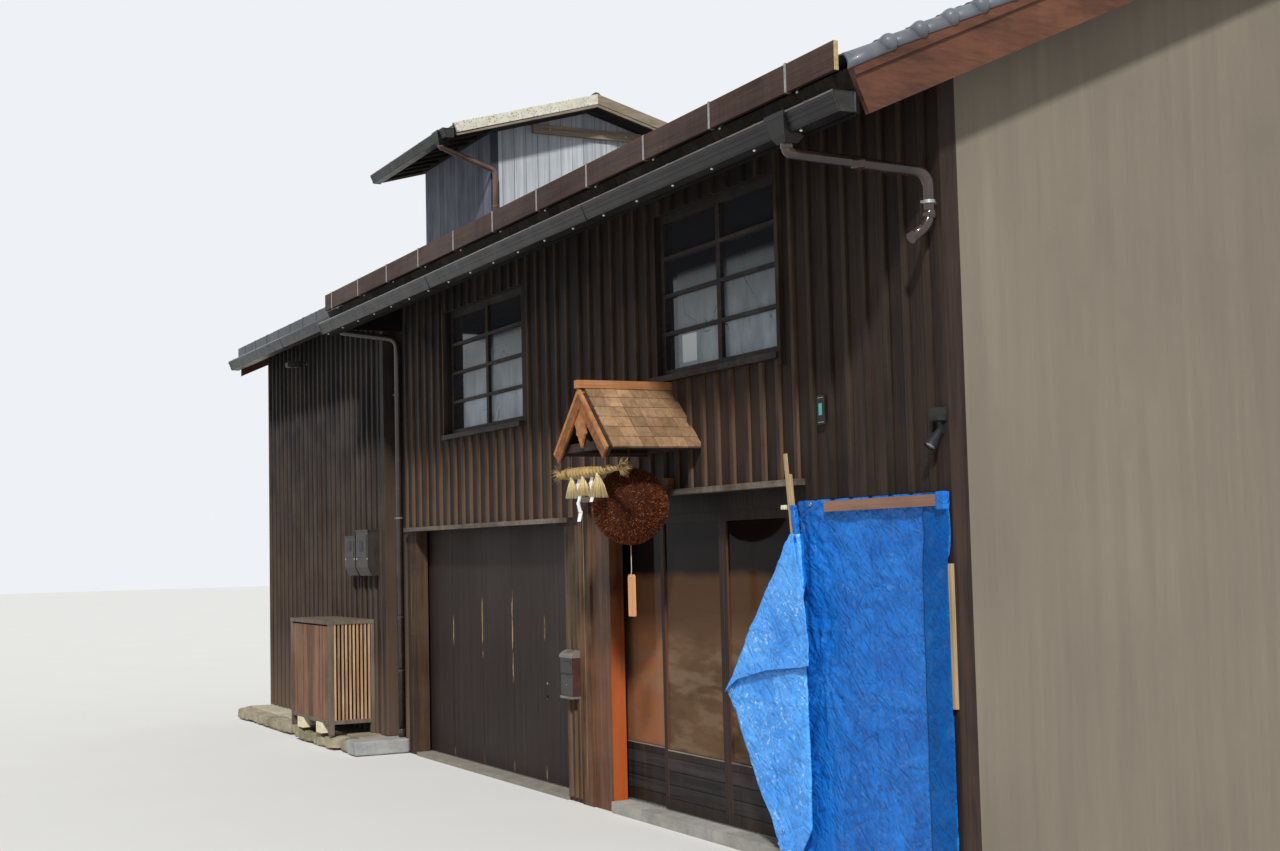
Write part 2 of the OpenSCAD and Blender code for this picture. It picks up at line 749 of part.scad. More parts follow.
// Gable board of both slopes, cut square at the eaves
module barge(x0, x1, h, top) {
    cut = square_in(h, roof_slope);
    edge = deck_front;
    low = deck_top(edge + cut) + top - h;
    along_x(x0, x1, [[edge, deck_top(edge) + top], [edge + cut, low], [ridge_y, deck_top(ridge_y) + top - h],
        [house_d - edge - cut, low], [house_d - edge, deck_top(edge) + top],
        [ridge_y, deck_top(ridge_y) + top]]);
}
module barge_boards() {
    color("chocolate") {
        barge(deck_right, verge_x, barge_h, 0);
        barge(deck_right, verge_x + barge_strip_t, barge_strip_h, 0);
        difference() {
            union() {
                barge(left_verge_x, deck_left, barge_h, 0);
                barge(left_verge_x - barge_strip_t, deck_left, barge_strip_h, 0);
            }
            block([left_verge_x - barge_strip_t - 1, deck_front - 1, 0],
                [deck_left + 1, -left_eave_out, deck_top(0)]);
        }
    }
}
module eave_boards() {
    left_top = deck_top(-left_eave_out) + left_fascia_up;
    long_board = [[fascia_y, fascia_low], [fascia_y + fascia_t, fascia_low],
        [fascia_y + fascia_t, deck_low(fascia_y + fascia_t)], [fascia_y, deck_low(fascia_y)]];
    color("black") {
        along_x(eave_step_x, deck_right, long_board);
        translate([0, house_d, 0]) mirror([0, 1, 0]) along_x(deck_left, deck_right, long_board);
        block([deck_left, -left_eave_out - fascia_t, left_top - left_fascia_h],
            [eave_step_x, -left_eave_out, left_top]);
        // Board that closes the step between the two front eaves
        along_x(eave_step_x, eave_step_x + fascia_t, [[fascia_y + fascia_t, fascia_low + step_board_up],
            [0, fascia_low + step_board_up], [0, deck_low(0)],
            [fascia_y + fascia_t, deck_low(fascia_y + fascia_t)]]);
    }
}
module snow_board() {
    face_y = deck_front - snow_out;
    low = eave_z - snow_drop;
    color("saddlebrown") {
        block([snow_left, face_y - snow_t, low], [deck_right, face_y, low + snow_h]);
        for (x = [snow_left + snow_first:snow_pitch:deck_right])
            block([x - snow_bracket / 2, face_y - 1, eave_z + 5],
                [x + snow_bracket / 2, deck_front, eave_z + 5 + snow_bracket_t]);
    }
}
// A gutter trough with closed ends, front at y0
module gutter(x0, x1, y0, z) {
    difference() {
        block([x0, y0, z - gutter_h], [x1, y0 + gutter_w, z]);
        block([x0 + gutter_t, y0 + gutter_t, z - gutter_h + gutter_t],
            [x1 - gutter_t, y0 + gutter_w - gutter_t, z + 1]);
    }
}
module gutters() {
    raised_z = raised_top(raised_front_edge) - raised_gutter_down;
    raised_x0 = raised_left - left_verge + raised_barge_t;
    raised_x1 = raised_right + raised_verge - raised_barge_t;
    color("black") {
        gutter(eave_step_x, deck_right, fascia_y - gutter_w, gutter_z);
        gutter(deck_left, eave_step_x - gutter_gap, -left_eave_out - fascia_t - gutter_w, left_gutter_z);
        gutter(deck_left, deck_right, house_d - fascia_y, gutter_z);
        gutter(raised_x0, raised_x1, raised_front_edge - gutter_w, raised_z);
        gutter(raised_x0, raised_x1, house_d - raised_front_edge, raised_z);
    }
}
// A pipe along straight legs, with a ball-shaped socket at each bend
module pipe(pts) {
    for (k = [0:len(pts) - 2]) {
        a = pts[k];
        d = pts[k + 1] - a;
        len_k = norm(d);
        translate(a) rotate([0, acos(d[2] / len_k), atan2(d[1], d[0])]) cylinder(r = pipe_r, h = len_k);
        if (k > 0) translate(a) sphere(r = pipe_r + socket_t);
    }
}
module downpipes() {
    main_x = half_w - outlet_in;
    main_y = fascia_y - gutter_w / 2;
    main_low = gutter_z - gutter_h;
    wall_y = -pipe_r - 2 * pipe_gap;
    left_x = eave_step_x - left_outlet_in;
    left_y = -left_eave_out - fascia_t - gutter_w / 2;
    left_low = left_gutter_z - gutter_h;
    raised_x = raised_right + raised_pipe_off;
    raised_gutter_y = raised_front_edge - gutter_w / 2;
    raised_gutter_low = raised_top(raised_front_edge) - raised_gutter_down - gutter_h;
    raised_pipe_y = raised_y + pipe_r;
    color("dimgray") {
        // From the main gutter back to the right end of the wall, with an open shoe at its foot
        pipe([[main_x, main_y, main_low], [main_x, main_y, main_low - outlet_h],
            [half_w - pipe_in, wall_y, pipe_wall_z], [half_w - pipe_in, wall_y, pipe_foot_z],
            [half_w - pipe_in, wall_y - shoe[0], pipe_foot_z - shoe[1]]]);
        // From the left gutter back to the joint of the two front walls and down to the ledge
        pipe([[left_x, left_y, left_low], [left_x, left_y, left_low - outlet_h],
            [eave_step_x, -pipe_r - pipe_gap, left_pipe_z], [eave_step_x, -pipe_r - pipe_gap, ledge_h]]);
        // From the raised gutter to the corner of its wall and down to the tiles
        pipe([[raised_x, raised_gutter_y, raised_gutter_low],
            [raised_x, raised_gutter_y, raised_gutter_low - outlet_h],
            [raised_x, raised_pipe_y, raised_gutter_low - raised_pipe_drop],
            [raised_x, raised_pipe_y, tile_top(raised_pipe_y + pipe_r) + seat]]);
    }
}
module raised_side(y0, y1) {
    along_x(raised_left, raised_right, [[y0, tile_top(y0)], [y1, tile_top(y1)], [y1, raised_low(y1)],
        [y0, raised_low(y0)]]);
}
module raised_long_walls() {
    color("dimgray") {
        raised_side(raised_y, raised_y + raised_wall_t);
        raised_side(raised_back - raised_wall_t, raised_back);
    }
}
module raised_gable(x0) {
    y0 = raised_y + raised_wall_t;
    y1 = raised_back - raised_wall_t;
    along_x(x0, x0 + raised_wall_t, [[y0, tile_top(y0)], [ridge_y, tile_top(ridge_y)], [y1, tile_top(y1)],
        [y1, raised_low(y1)], [ridge_y, raised_low(ridge_y)], [y0, raised_low(y0)]]);
}
module raised_gable_walls() {
    color("silver") {
        raised_gable(raised_left);
        raised_gable(raised_right - raised_wall_t);
    }
}
module raised_roof() {
    e = raised_front_edge;
    b = house_d - e;
    color("gray") {
        along_x(raised_left - left_verge + raised_barge_t, raised_right + raised_verge - raised_barge_t,
            [[e, raised_top(e)], [e, raised_low(e)], [ridge_y, raised_low(ridge_y)],
                [b, raised_low(b)], [b, raised_top(b)], [ridge_y, raised_top(ridge_y)]]);
        translate([raised_left - left_verge + raised_barge_t, ridge_y, raised_ridge_z - raised_cap_down])
            rotate([0, 90, 0])
            cylinder(r = raised_cap_r, h = raised_w + raised_verge + left_verge - 2 * raised_barge_t);
    }
}
module raised_barge(x0) {
    e = raised_front_edge;
    b = house_d - e;
    cut = square_in(raised_barge_h, raised_slope);
    top = raised_barge_up;
    low = top - raised_barge_h;
    along_x(x0, x0 + raised_barge_t, [[e, raised_top(e) + top], [e + cut, raised_top(e + cut) + low],
        [ridge_y, raised_top(ridge_y) + low], [b - cut, raised_top(b - cut) + low],
        [b, raised_top(b) + top], [ridge_y, raised_top(ridge_y) + top]]);
}
module raised_roof_timbers() {
    reach = (raised_low(ridge_y) - tie_z - tie_h) / raised_slope;
    color("beige") {
        raised_barge(raised_right + raised_verge - raised_barge_t);
        raised_barge(raised_left - left_verge);
        block([raised_right, ridge_y - reach, tie_z],
            [raised_right + tie_out, ridge_y + reach, tie_z + tie_h]);
        block([raised_left - tie_out, ridge_y - reach, tie_z], [raised_left, ridge_y + reach, tie_z + tie_h]);
    }
}
function canopy_low(x) = canopy_z - canopy_t - canopy_drop * abs(x - canopy_x) / canopy_half;
// Two slopes that meet at the ridge, as deep as h, drawn from y0 to y1
module canopy_slopes(y0, y1, h) {
    in = canopy_half - square_in(h, canopy_drop / canopy_half);
    low = canopy_z - h;
    translate([canopy_x, y1, 0]) rotate([90, 0, 0]) linear_extrude(y1 - y0) polygon([
        [0, canopy_z], [canopy_half, canopy_z - canopy_drop], [in, low - canopy_drop * in / canopy_half],
        [0, low], [-in, low - canopy_drop * in / canopy_half], [-canopy_half, canopy_z - canopy_drop]]);
}
module canopy_frame() {
    half = canopy_beam / 2;
    top = canopy_low(canopy_x + bracket_x + half);
    ridge_top = canopy_low(canopy_x + half);
    color("sienna") {
        // Two brackets out from the wall, with a cross beam in front and behind
        for (side = [-1, 1])
            block([canopy_x + side * bracket_x - half, -canopy_out, top - canopy_beam],
                [canopy_x + side * bracket_x + half, 0, top]);
        for (y = [-canopy_out, -canopy_beam])
            block([canopy_x - bracket_x, y, top - canopy_beam],
                [canopy_x + bracket_x, y + canopy_beam, top]);
        // Ridge beam on a post at each end
        block([canopy_x - half, -canopy_out, ridge_top - canopy_beam], [canopy_x + half, 0, ridge_top]);
        for (y = [-canopy_out, -canopy_beam])
            block([canopy_x - half, y, top - 1], [canopy_x + half, y + canopy_beam, ridge_top]);
        // Front boards along both slopes
        canopy_slopes(-canopy_out - canopy_barge_t, -canopy_out, canopy_barge_h);
        // Cord that the ball hangs from
        translate([canopy_x, -ball_out, ball_z + ball_r + seat])
            cylinder(r = cord_r, h = ridge_top - canopy_beam + 1 - (ball_z + ball_r + seat));
    }
}
module canopy_roof() {
    batten_low = canopy_z - batten_in;
    color("peru") {
        canopy_slopes(-canopy_out, 0, canopy_t);
        block([canopy_x - ridge_batten / 2, -canopy_out, batten_low], [canopy_x + ridge_batten / 2, 0,
            batten_low + ridge_batten]);
        block([canopy_x - ridge_batten / 2, -canopy_out - canopy_barge_t - batten_reach, canopy_z + small],
            [canopy_x + ridge_batten / 2, -canopy_out + 1, batten_low + ridge_batten]);
    }
}
module cedar_ball() {
    color("brown") translate([canopy_x, -ball_out, ball_z]) sphere(r = ball_r);
}
module straw_rope() {
    beam_low = canopy_low(canopy_x + bracket_x + canopy_beam / 2) - canopy_beam;
    color("khaki") translate([canopy_x, -canopy_out + canopy_beam / 2, rope_z]) {
        translate([-rope_len / 4, 0, 0]) rotate([0, 90, 0]) cylinder(r = rope_r, h = rope_len / 2);
        for (side = [-1, 1]) translate([side * (rope_len / 4 - 1), 0, 0]) rotate([0, side * 90, 0])
            cylinder(r1 = rope_r - 1, r2 = rope_r * 0.6, h = rope_len / 4 + 1);
        // The tassels hang from the rope's front half, clear of the ball
        for (x = tassel_at) translate([x, -rope_r / 2, -tassel_h])
            cylinder(r1 = tassel_r, r2 = tassel_r / 3, h = tassel_h - rope_r / 3);
        for (side = [-1, 1]) translate([side * bracket_x, 0, 0]) cylinder(r = cord_r, h = beam_low - rope_z);
    }
}
module wood_tag() {
    string_z = tag_z + tag_size[2] - 5;
    color("orange") {
        block([canopy_x - tag_size[0] / 2, -ball_out - tag_size[1] / 2, tag_z],
            [canopy_x + tag_size[0] / 2, -ball_out + tag_size[1] / 2, tag_z + tag_size[2]]);
        translate([canopy_x, -ball_out, string_z])
            cylinder(r = cord_r / 2, h = ball_z - ball_r - seat - string_z);
    }
}
module mailbox() {
    color("dimgray") block([mailbox_x - mailbox_size[0], -mailbox_size[1], mailbox_z],
        [mailbox_x, -seat, mailbox_z + mailbox_size[2]]);
}
// A meter housing with its right side at x, whose front slopes back towards its foot
module meter(x, size) {
    along_x(x - size[0], x, [[-left_step, meter_z], [-left_step, meter_z + size[2]],
        [-left_step - size[1], meter_z + size[2]], [-left_step - size[1], meter_z + meter_foot_h],
        [-left_step - size[1] + meter_lean, meter_z]]);
}
module meter_boxes() {
    color("dimgray") {
        meter(meter_x, meter_size);
        meter(meter_x - meter_pitch, small_meter_size);
    }
}
module equipment_cover() {
    x0 = cover_x - cover_size[0];
    y0 = -left_step - cover_size[1];
    low = ledge_h + leg_h;
    top = low + cover_size[2];
    color("sienna") {
        for (x = [x0, cover_x - cover_post], y = [y0, -left_step - cover_post])
            block([x, y, ledge_h], [x + cover_post, y + cover_post, top]);
        block([x0, y0, top - cover_top_t], [cover_x, -left_step, top]);
        block([x0, y0 + slat_in, low], [cover_x, y0 + slat_in + slat_t, top]);
        for (x = [x0 + slat_in, cover_x - slat_in - slat_t])
            block([x, y0 + slat_in, low], [x + slat_t, -left_step, top]);
    }
}
module lamps() {
    arm_x = left_wall_end - arm_lamp_in;
    head_y = -left_step - arm_len;
    spot_x = half_w - spot_in;
    spot_y = -spot_bracket[1] + 6;
    color("gray") {
        // Lamp on an arm of the left wall, with its round plate
        translate([arm_x, -left_step, arm_lamp_z]) rotate([90, 0, 0]) {
            cylinder(r = arm_plate[0], h = arm_plate[1]);
            cylinder(r = arm_r, h = arm_len);
        }
        block([arm_x - arm_head[0] / 2, head_y + arm_in - arm_head[1], arm_lamp_z + arm_r - arm_head[2]],
            [arm_x + arm_head[0] / 2, head_y + arm_in, arm_lamp_z + arm_r]);
        // Sensor box over a small spot lamp at the right end
        block([spot_x - sensor_size[0] / 2, -sensor_size[1], spot_z + sensor_up],
            [spot_x + sensor_size[0] / 2, 0, spot_z + sensor_up + sensor_size[2]]);
        block([spot_x - spot_bracket[0] / 2, -spot_bracket[1], spot_z - sensor_up / 2],
            [spot_x + spot_bracket[0] / 2, 0, spot_z + sensor_up + 1]);
        translate([spot_x, spot_y, spot_z]) rotate([90 + spot_tilt, 0, 0])
            cylinder(r1 = spot_r / 2, r2 = spot_r, h = spot_len);
    }
}
module tarp() {
    front_y = -seat - tarp_t;
    flap_y = -drip_out - batten_t - seat;
    flap = [[tarp_x + fold_w / 3, fold_top + (tarp_z - fold_top) * 0.8],
        [tarp_x - 0.52 * flap_reach, flap_shoulder_z], [tarp_x - flap_reach, flap_tip_z],
        [tarp_x - 0.87 * flap_reach, flap_tip_z - flap_tip_h], [tarp_x - 0.22 * flap_reach, flap_low],
        [tarp_x + fold_w, flap_low], [tarp_x + fold_w, fold_top]];
    color("royalblue") {
        // Over the doors the sheet's space ends on the sill, and beside them it runs lower
        block([tarp_x, front_y, sill_t + seat], [shop_end + 1, -seat, tarp_z]);
        difference() {
            block([shop_end + seat, front_y, tarp_low], [tarp_end, -seat, tarp_z]);
            block([half_w - batten_w - seat, front_y - 1, side_batten_z - seat],
                [half_w, 0, side_batten_z + side_batten_len + seat]);
        }
        // Fold that carries the flap forward
        block([tarp_x + fold_w / 8, flap_y - 1, flap_low], [tarp_x + fold_w, front_y + 1, fold_top]);
        translate([0, flap_y, 0]) rotate([90, 0, 0]) linear_extrude(flap_t) polygon(flap);
    }
}
module tarp_battens() {
    sheet_y = -seat - tarp_t - seat;
    color("burlywood") {
        // Along the sheet's top
        block([tarp_x + top_batten_in, sheet_y - batten_t, tarp_z - top_batten_down],
            [tarp_end, sheet_y, tarp_z - top_batten_down + batten_w]);
        // Leaning over the drip board at the sheet's left edge
        translate([tarp_x + drip_batten_in, -drip_out - batten_t, drip_batten_z])
            rotate([0, -drip_batten_lean, 0]) cube([drip_batten_w, batten_t, drip_batten_len]);
        // Up the corner, beside the sheet's right edge
        block([half_w - batten_w, -batten_t, side_batten_z], [half_w, 0, side_batten_z + side_batten_len]);
    }
}

ground_floor();
upper_floor();
stone_ledge();
stone_sill();
left_party_wall();
right_party_wall();
back_wall();
front_wall_left();
front_wall_over_garage();
front_wall_over_shop();
garage_side_wall();
centre_pier();
right_pier();
street_posts();
drip_boards();
garage_door();
shop_door_frame();
door_rails();
glass_door(1);  // glass_door_1
glass_door(2);  // glass_door_2
glass_door(3);  // glass_door_3
glass_door(4);  // glass_door_4
door_glass(1);  // door_glass_1
door_glass(2);  // door_glass_2
door_glass(3);  // door_glass_3
door_glass(4);  // door_glass_4
window_frames();
window_glass();
roof_front();
roof_back();
roof_ridge();
barge_boards();
eave_boards();
snow_board();
gutters();
downpipes();
raised_long_walls();
raised_gable_walls();
raised_roof();
raised_roof_timbers();
canopy_frame();
canopy_roof();
cedar_ball();
straw_rope();
wood_tag();
mailbox();
meter_boxes();
equipment_cover();
lamps();
tarp();
tarp_battens();
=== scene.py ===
import math
import random
from types import SimpleNamespace

import bmesh
import bpy
from mathutils import Matrix, Vector, noise


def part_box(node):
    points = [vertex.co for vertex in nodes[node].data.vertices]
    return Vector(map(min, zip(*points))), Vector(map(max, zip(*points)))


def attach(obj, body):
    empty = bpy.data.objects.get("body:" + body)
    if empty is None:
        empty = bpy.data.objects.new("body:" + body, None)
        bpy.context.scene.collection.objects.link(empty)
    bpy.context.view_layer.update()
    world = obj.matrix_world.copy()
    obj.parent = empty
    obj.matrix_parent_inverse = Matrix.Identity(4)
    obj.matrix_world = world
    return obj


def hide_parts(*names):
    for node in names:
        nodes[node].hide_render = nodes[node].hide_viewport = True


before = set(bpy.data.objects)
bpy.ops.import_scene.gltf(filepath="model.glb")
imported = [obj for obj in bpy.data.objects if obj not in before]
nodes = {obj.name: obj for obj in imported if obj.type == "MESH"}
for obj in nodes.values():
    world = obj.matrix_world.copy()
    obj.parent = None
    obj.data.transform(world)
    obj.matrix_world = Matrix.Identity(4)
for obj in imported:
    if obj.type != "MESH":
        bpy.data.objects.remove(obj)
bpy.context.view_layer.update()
print("frame loaded:", len(nodes), "nodes")


def named(settings):
    # Lets the values of a dictionary be read as house.back
    return SimpleNamespace(**settings)


view = named({
    "eye": (12.37, -4.85, 1.7),
    "turn": 63.17, "rise": 4.16, "roll": -1.34,  # degrees left of the street's cross line, up, and tilt
    "lens": 47.81, "sensor": 36.0,
})
light = named({
    "sunToward": (-0.66, 0.4, -0.64), "sunStrength": 3.5, "sunAngle": 5.0,
    "skyStrength": 0.46, "skyColour": "#e8edf4",
    "backdrop": "#eef1f5", "floorColour": "#d9d7d2", "floorHalf": 90.0,
})
house = named({  # metres; the street face is y = 0
    "back": 5.7, "ridge": 2.85,
    # the roof's ends, and where its left eave steps back
    "roofLeft": -6.06, "roofRight": 6.2, "stepX": -1.85,
    "slope": 0.45, "eaveTop": 3.805, "eaveOut": 0.66, "leftEaveOut": 0.385, "deck": 0.1,
})


# Small tools for colours, node trees and meshes

def paint(code):
    parts = [int(code[k:k + 2], 16) / 255 for k in (1, 3, 5)]
    return tuple(c / 12.92 if c < 0.04045 else ((c + 0.055) / 1.055) ** 2.4 for c in parts) + (1.0,)


def place(tree, kind, sockets=None, **props):
    # A new node; what sockets holds is linked if it is a socket, and painted if it is a colour code
    node = tree.nodes.new(kind)
    for key, value in props.items():
        setattr(node, key, value)
    for key, value in (sockets or {}).items():
        if isinstance(value, bpy.types.NodeSocket):
            tree.links.new(value, node.inputs[key])
        elif isinstance(value, str) and value.startswith("#"):
            node.inputs[key].default_value = paint(value)
        else:
            node.inputs[key].default_value = value
    return node


def calc(tree, operation, a, b=0.0):
    return place(tree, "ShaderNodeMath", {0: a, 1: b}, operation=operation).outputs[0]


def times(tree, a, b):
    return calc(tree, "MULTIPLY", a, b)


def span(tree, value, low, high, toLow=0.0, toHigh=1.0):
    return place(tree, "ShaderNodeMapRange", {0: value, 1: low, 2: high, 3: toLow, 4: toHigh}).outputs[0]


def mix(tree, share, a, b):
    return place(tree, "ShaderNodeMix", {0: share, 6: a, 7: b}, data_type="RGBA").outputs[2]


def noiseOf(tree, vector, scale, detail=4.0, rough=0.55, distort=0.0):
    return place(tree, "ShaderNodeTexNoise", {"Vector": vector, "Scale": scale, "Detail": detail,
        "Roughness": rough, "Distortion": distort}).outputs[0]


def cellsOf(tree, vector, scale, feature="F1"):
    return place(tree, "ShaderNodeTexVoronoi", {"Vector": vector, "Scale": scale},
        feature=feature).outputs[0]


def stretched(tree, vector, sizes):
    return place(tree, "ShaderNodeVectorMath", {0: vector, 1: sizes}, operation="MULTIPLY").outputs[0]


def shifted(tree, vector, by):
    return place(tree, "ShaderNodeVectorMath", {0: vector, 1: by}, operation="ADD").outputs[0]


def axesOf(tree, vector):
    return place(tree, "ShaderNodeSeparateXYZ", {0: vector}).outputs


def vectorOf(tree, x, y, z):
    return place(tree, "ShaderNodeCombineXYZ", {0: x, 1: y, 2: z}).outputs[0]


def newGroup(name, kind, inputs, outputs):
    tree = bpy.data.node_groups.new(name, kind)
    for label, socketKind, value in inputs:
        socket = tree.interface.new_socket(label, in_out="INPUT", socket_type=socketKind)
        if value is not None:
            socket.default_value = value
    for label, socketKind in outputs:
        tree.interface.new_socket(label, in_out="OUTPUT", socket_type=socketKind)
    return tree, place(tree, "NodeGroupInput").outputs, place(tree, "NodeGroupOutput").inputs


def useGroup(tree, group, sockets):
    return place(tree, "ShaderNodeGroup", sockets, node_tree=group).outputs


number, vector3, colour = "NodeSocketFloat", "NodeSocketVector", "NodeSocketColor"


# Shared effects: each gives colours, masks or heights that change over the surface

def makeGrain():
    # Grain runs along the vector's Z; Across and Along are its scales in each direction
    tree, given, out = newGroup("woodGrain", "ShaderNodeTree", [
        ("Vector", vector3, None), ("Dark", colour, paint("#3a2e26")), ("Light", colour, paint("#6a5444")),
        ("Across", number, 60.0), ("Along", number, 2.2), ("Knots", number, 0.0)],
        [("Color", colour), ("Height", number), ("Patch", number)])
    axes = axesOf(tree, given["Vector"])
    fine = vectorOf(tree, *[times(tree, axes[k], given[key])
        for k, key in enumerate(("Across", "Across", "Along"))])
    broad = noiseOf(tree, fine, 0.35, 3.0, 0.6, 0.8)
    fibre = noiseOf(tree, fine, 2.4, 3.0, 0.7)
    lines = calc(tree, "ADD", times(tree, broad, 0.6), times(tree, fibre, 0.4))
    sharp = span(tree, lines, 0.38, 0.62)
    patch = span(tree, noiseOf(tree, given["Vector"], 1.1, 3.0), 0.3, 0.7)
    knot = cellsOf(tree, stretched(tree, given["Vector"], (4.0, 4.0, 1.3)), 1.0)
    knotMask = times(tree, span(tree, knot, 0.1, 0.16, 1.0, 0.0), given["Knots"])
    tone = mix(tree, sharp, given["Dark"], given["Light"])
    tone = mix(tree, times(tree, patch, 0.35), tone, given["Dark"])
    tone = mix(tree, times(tree, knotMask, 0.8), tone, "#1d140f")
    for key, value in (("Color", tone), ("Height", sharp), ("Patch", patch)):
        tree.links.new(value, out[key])
    return tree


def makeBoardSplit():
    # Splits a wall into boards of one width: a tone for each board and a mask at its joints
    tree, given, out = newGroup("boardSplit", "ShaderNodeTree", [
        ("Across", number, 0.0), ("Start", number, 0.0), ("Width", number, 0.17), ("Gap", number, 0.004)],
        [("Tone", number), ("Joint", number)])
    along = calc(tree, "DIVIDE", calc(tree, "SUBTRACT", given["Across"], given["Start"]), given["Width"])
    index = calc(tree, "FLOOR", along)
    part = calc(tree, "SUBTRACT", along, index)
    edge = times(tree, calc(tree, "MINIMUM", part, calc(tree, "SUBTRACT", 1.0, part)), given["Width"])
    white = place(tree, "ShaderNodeTexWhiteNoise", {"W": index}, noise_dimensions="1D").outputs[0]
    joint = span(tree, edge, 0.0, given["Gap"], 1.0, 0.0)
    tree.links.new(white, out["Tone"])
    tree.links.new(joint, out["Joint"])
    return tree


def makeSpeckle():
    # Small spots of uneven size, such as lichen, dirt or stone grains
    tree, given, out = newGroup("speckle", "ShaderNodeTree", [
        ("Vector", vector3, None), ("Scale", number, 60.0), ("Share", number, 0.5)], [("Mask", number)])
    cells = cellsOf(tree, given["Vector"], given["Scale"])
    cloud = noiseOf(tree, given["Vector"], 7.0, 5.0, 0.65)
    limit = times(tree, times(tree, cloud, given["Share"]), 1.2)
    mask = span(tree, calc(tree, "SUBTRACT", limit, cells), -0.05, 0.08)
    tree.links.new(mask, out["Mask"])
    return tree


def makeStreaks():
    # Marks that water leaves as it runs down a surface
    tree, given, out = newGroup("streaks", "ShaderNodeTree", [
        ("Vector", vector3, None), ("Scale", number, 14.0), ("Share", number, 0.5)], [("Mask", number)])
    long = noiseOf(tree, stretched(tree, given["Vector"], (1.0, 1.0, 0.05)), given["Scale"], 4.0, 0.7)
    cloud = noiseOf(tree, given["Vector"], 2.2, 3.0)
    level = times(tree, times(tree, long, cloud), 3.2)
    mask = times(tree, span(tree, level, 0.62, 1.05), given["Share"])
    tree.links.new(mask, out["Mask"])
    return tree


def makeCreases():
    # Sharp creases at three sizes, as on crumpled plastic cloth; Height is in metres
    tree, given, out = newGroup("creases", "ShaderNodeTree", [
        ("Vector", vector3, None), ("Scale", number, 9.0), ("Depth", number, 0.006)],
        [("Height", number), ("Tone", number)])
    height, tone = None, None
    for factor, share, turnBy in ((0.7, 1.3, 0.5), (1.9, 0.7, -0.7), (4.6, 0.28, 0.9)):
        turnedBy = place(tree, "ShaderNodeVectorRotate", {"Vector": given["Vector"], "Angle": turnBy},
            rotation_type="Y_AXIS").outputs[0]
        flat = stretched(tree, turnedBy, (0.55, 1.0, 1.25))
        wave = noiseOf(tree, flat, times(tree, given["Scale"], factor), 1.5, 0.45, 0.9)
        ridge = calc(tree, "ABSOLUTE", calc(tree, "SUBTRACT", wave, 0.5))
        part = times(tree, times(tree, ridge, given["Depth"]), 4.0 * share)
        height = part if height is None else calc(tree, "SUBTRACT", height, part)
        tone = ridge if tone is None else calc(tree, "ADD", tone, ridge)
    tree.links.new(height, out["Height"])
    tree.links.new(span(tree, tone, 0.08, 0.38), out["Tone"])
    return tree


grain, boardSplit, speckle, streaks, creases = (
    makeGrain(), makeBoardSplit(), makeSpeckle(), makeStreaks(), makeCreases())


# Materials, each kept in finishes under its name

finishes = {}


def startMaterial(name, **constants):
    finish = bpy.data.materials.new(name)
    finish.use_nodes = True
    finishes[name] = finish
    tree = finish.node_tree
    shader = next(n for n in tree.nodes if n.type == "BSDF_PRINCIPLED")
    for key, value in constants.items():
        shader.inputs[key.replace("_", " ")].default_value = value
    return tree, shader, place(tree, "ShaderNodeTexCoord").outputs["Object"]


def wire(tree, shader, shade, roughness, height=None, strength=0.3, depth=0.004):
    tree.links.new(shade, shader.inputs["Base Color"])
    tree.links.new(roughness, shader.inputs["Roughness"])
    if height is not None:
        bump = place(tree, "ShaderNodeBump", {"Height": height, "Strength": strength, "Distance": depth})
        tree.links.new(bump.outputs[0], shader.inputs["Normal"])


def watered(tree, spot, shade, scale, water):
    # Water marks; water = (share, colour)
    mask = useGroup(tree, streaks, {"Vector": spot, "Scale": scale, "Share": water[0]})["Mask"]
    return mix(tree, mask, shade, water[1])


def turned(tree, spot, along):
    # Brings the grain's axis to Z
    if along == "z":
        return spot
    axes = axesOf(tree, spot)
    order = (axes[2], axes[1], axes[0]) if along == "x" else (axes[0], axes[2], axes[1])
    return vectorOf(tree, *order)


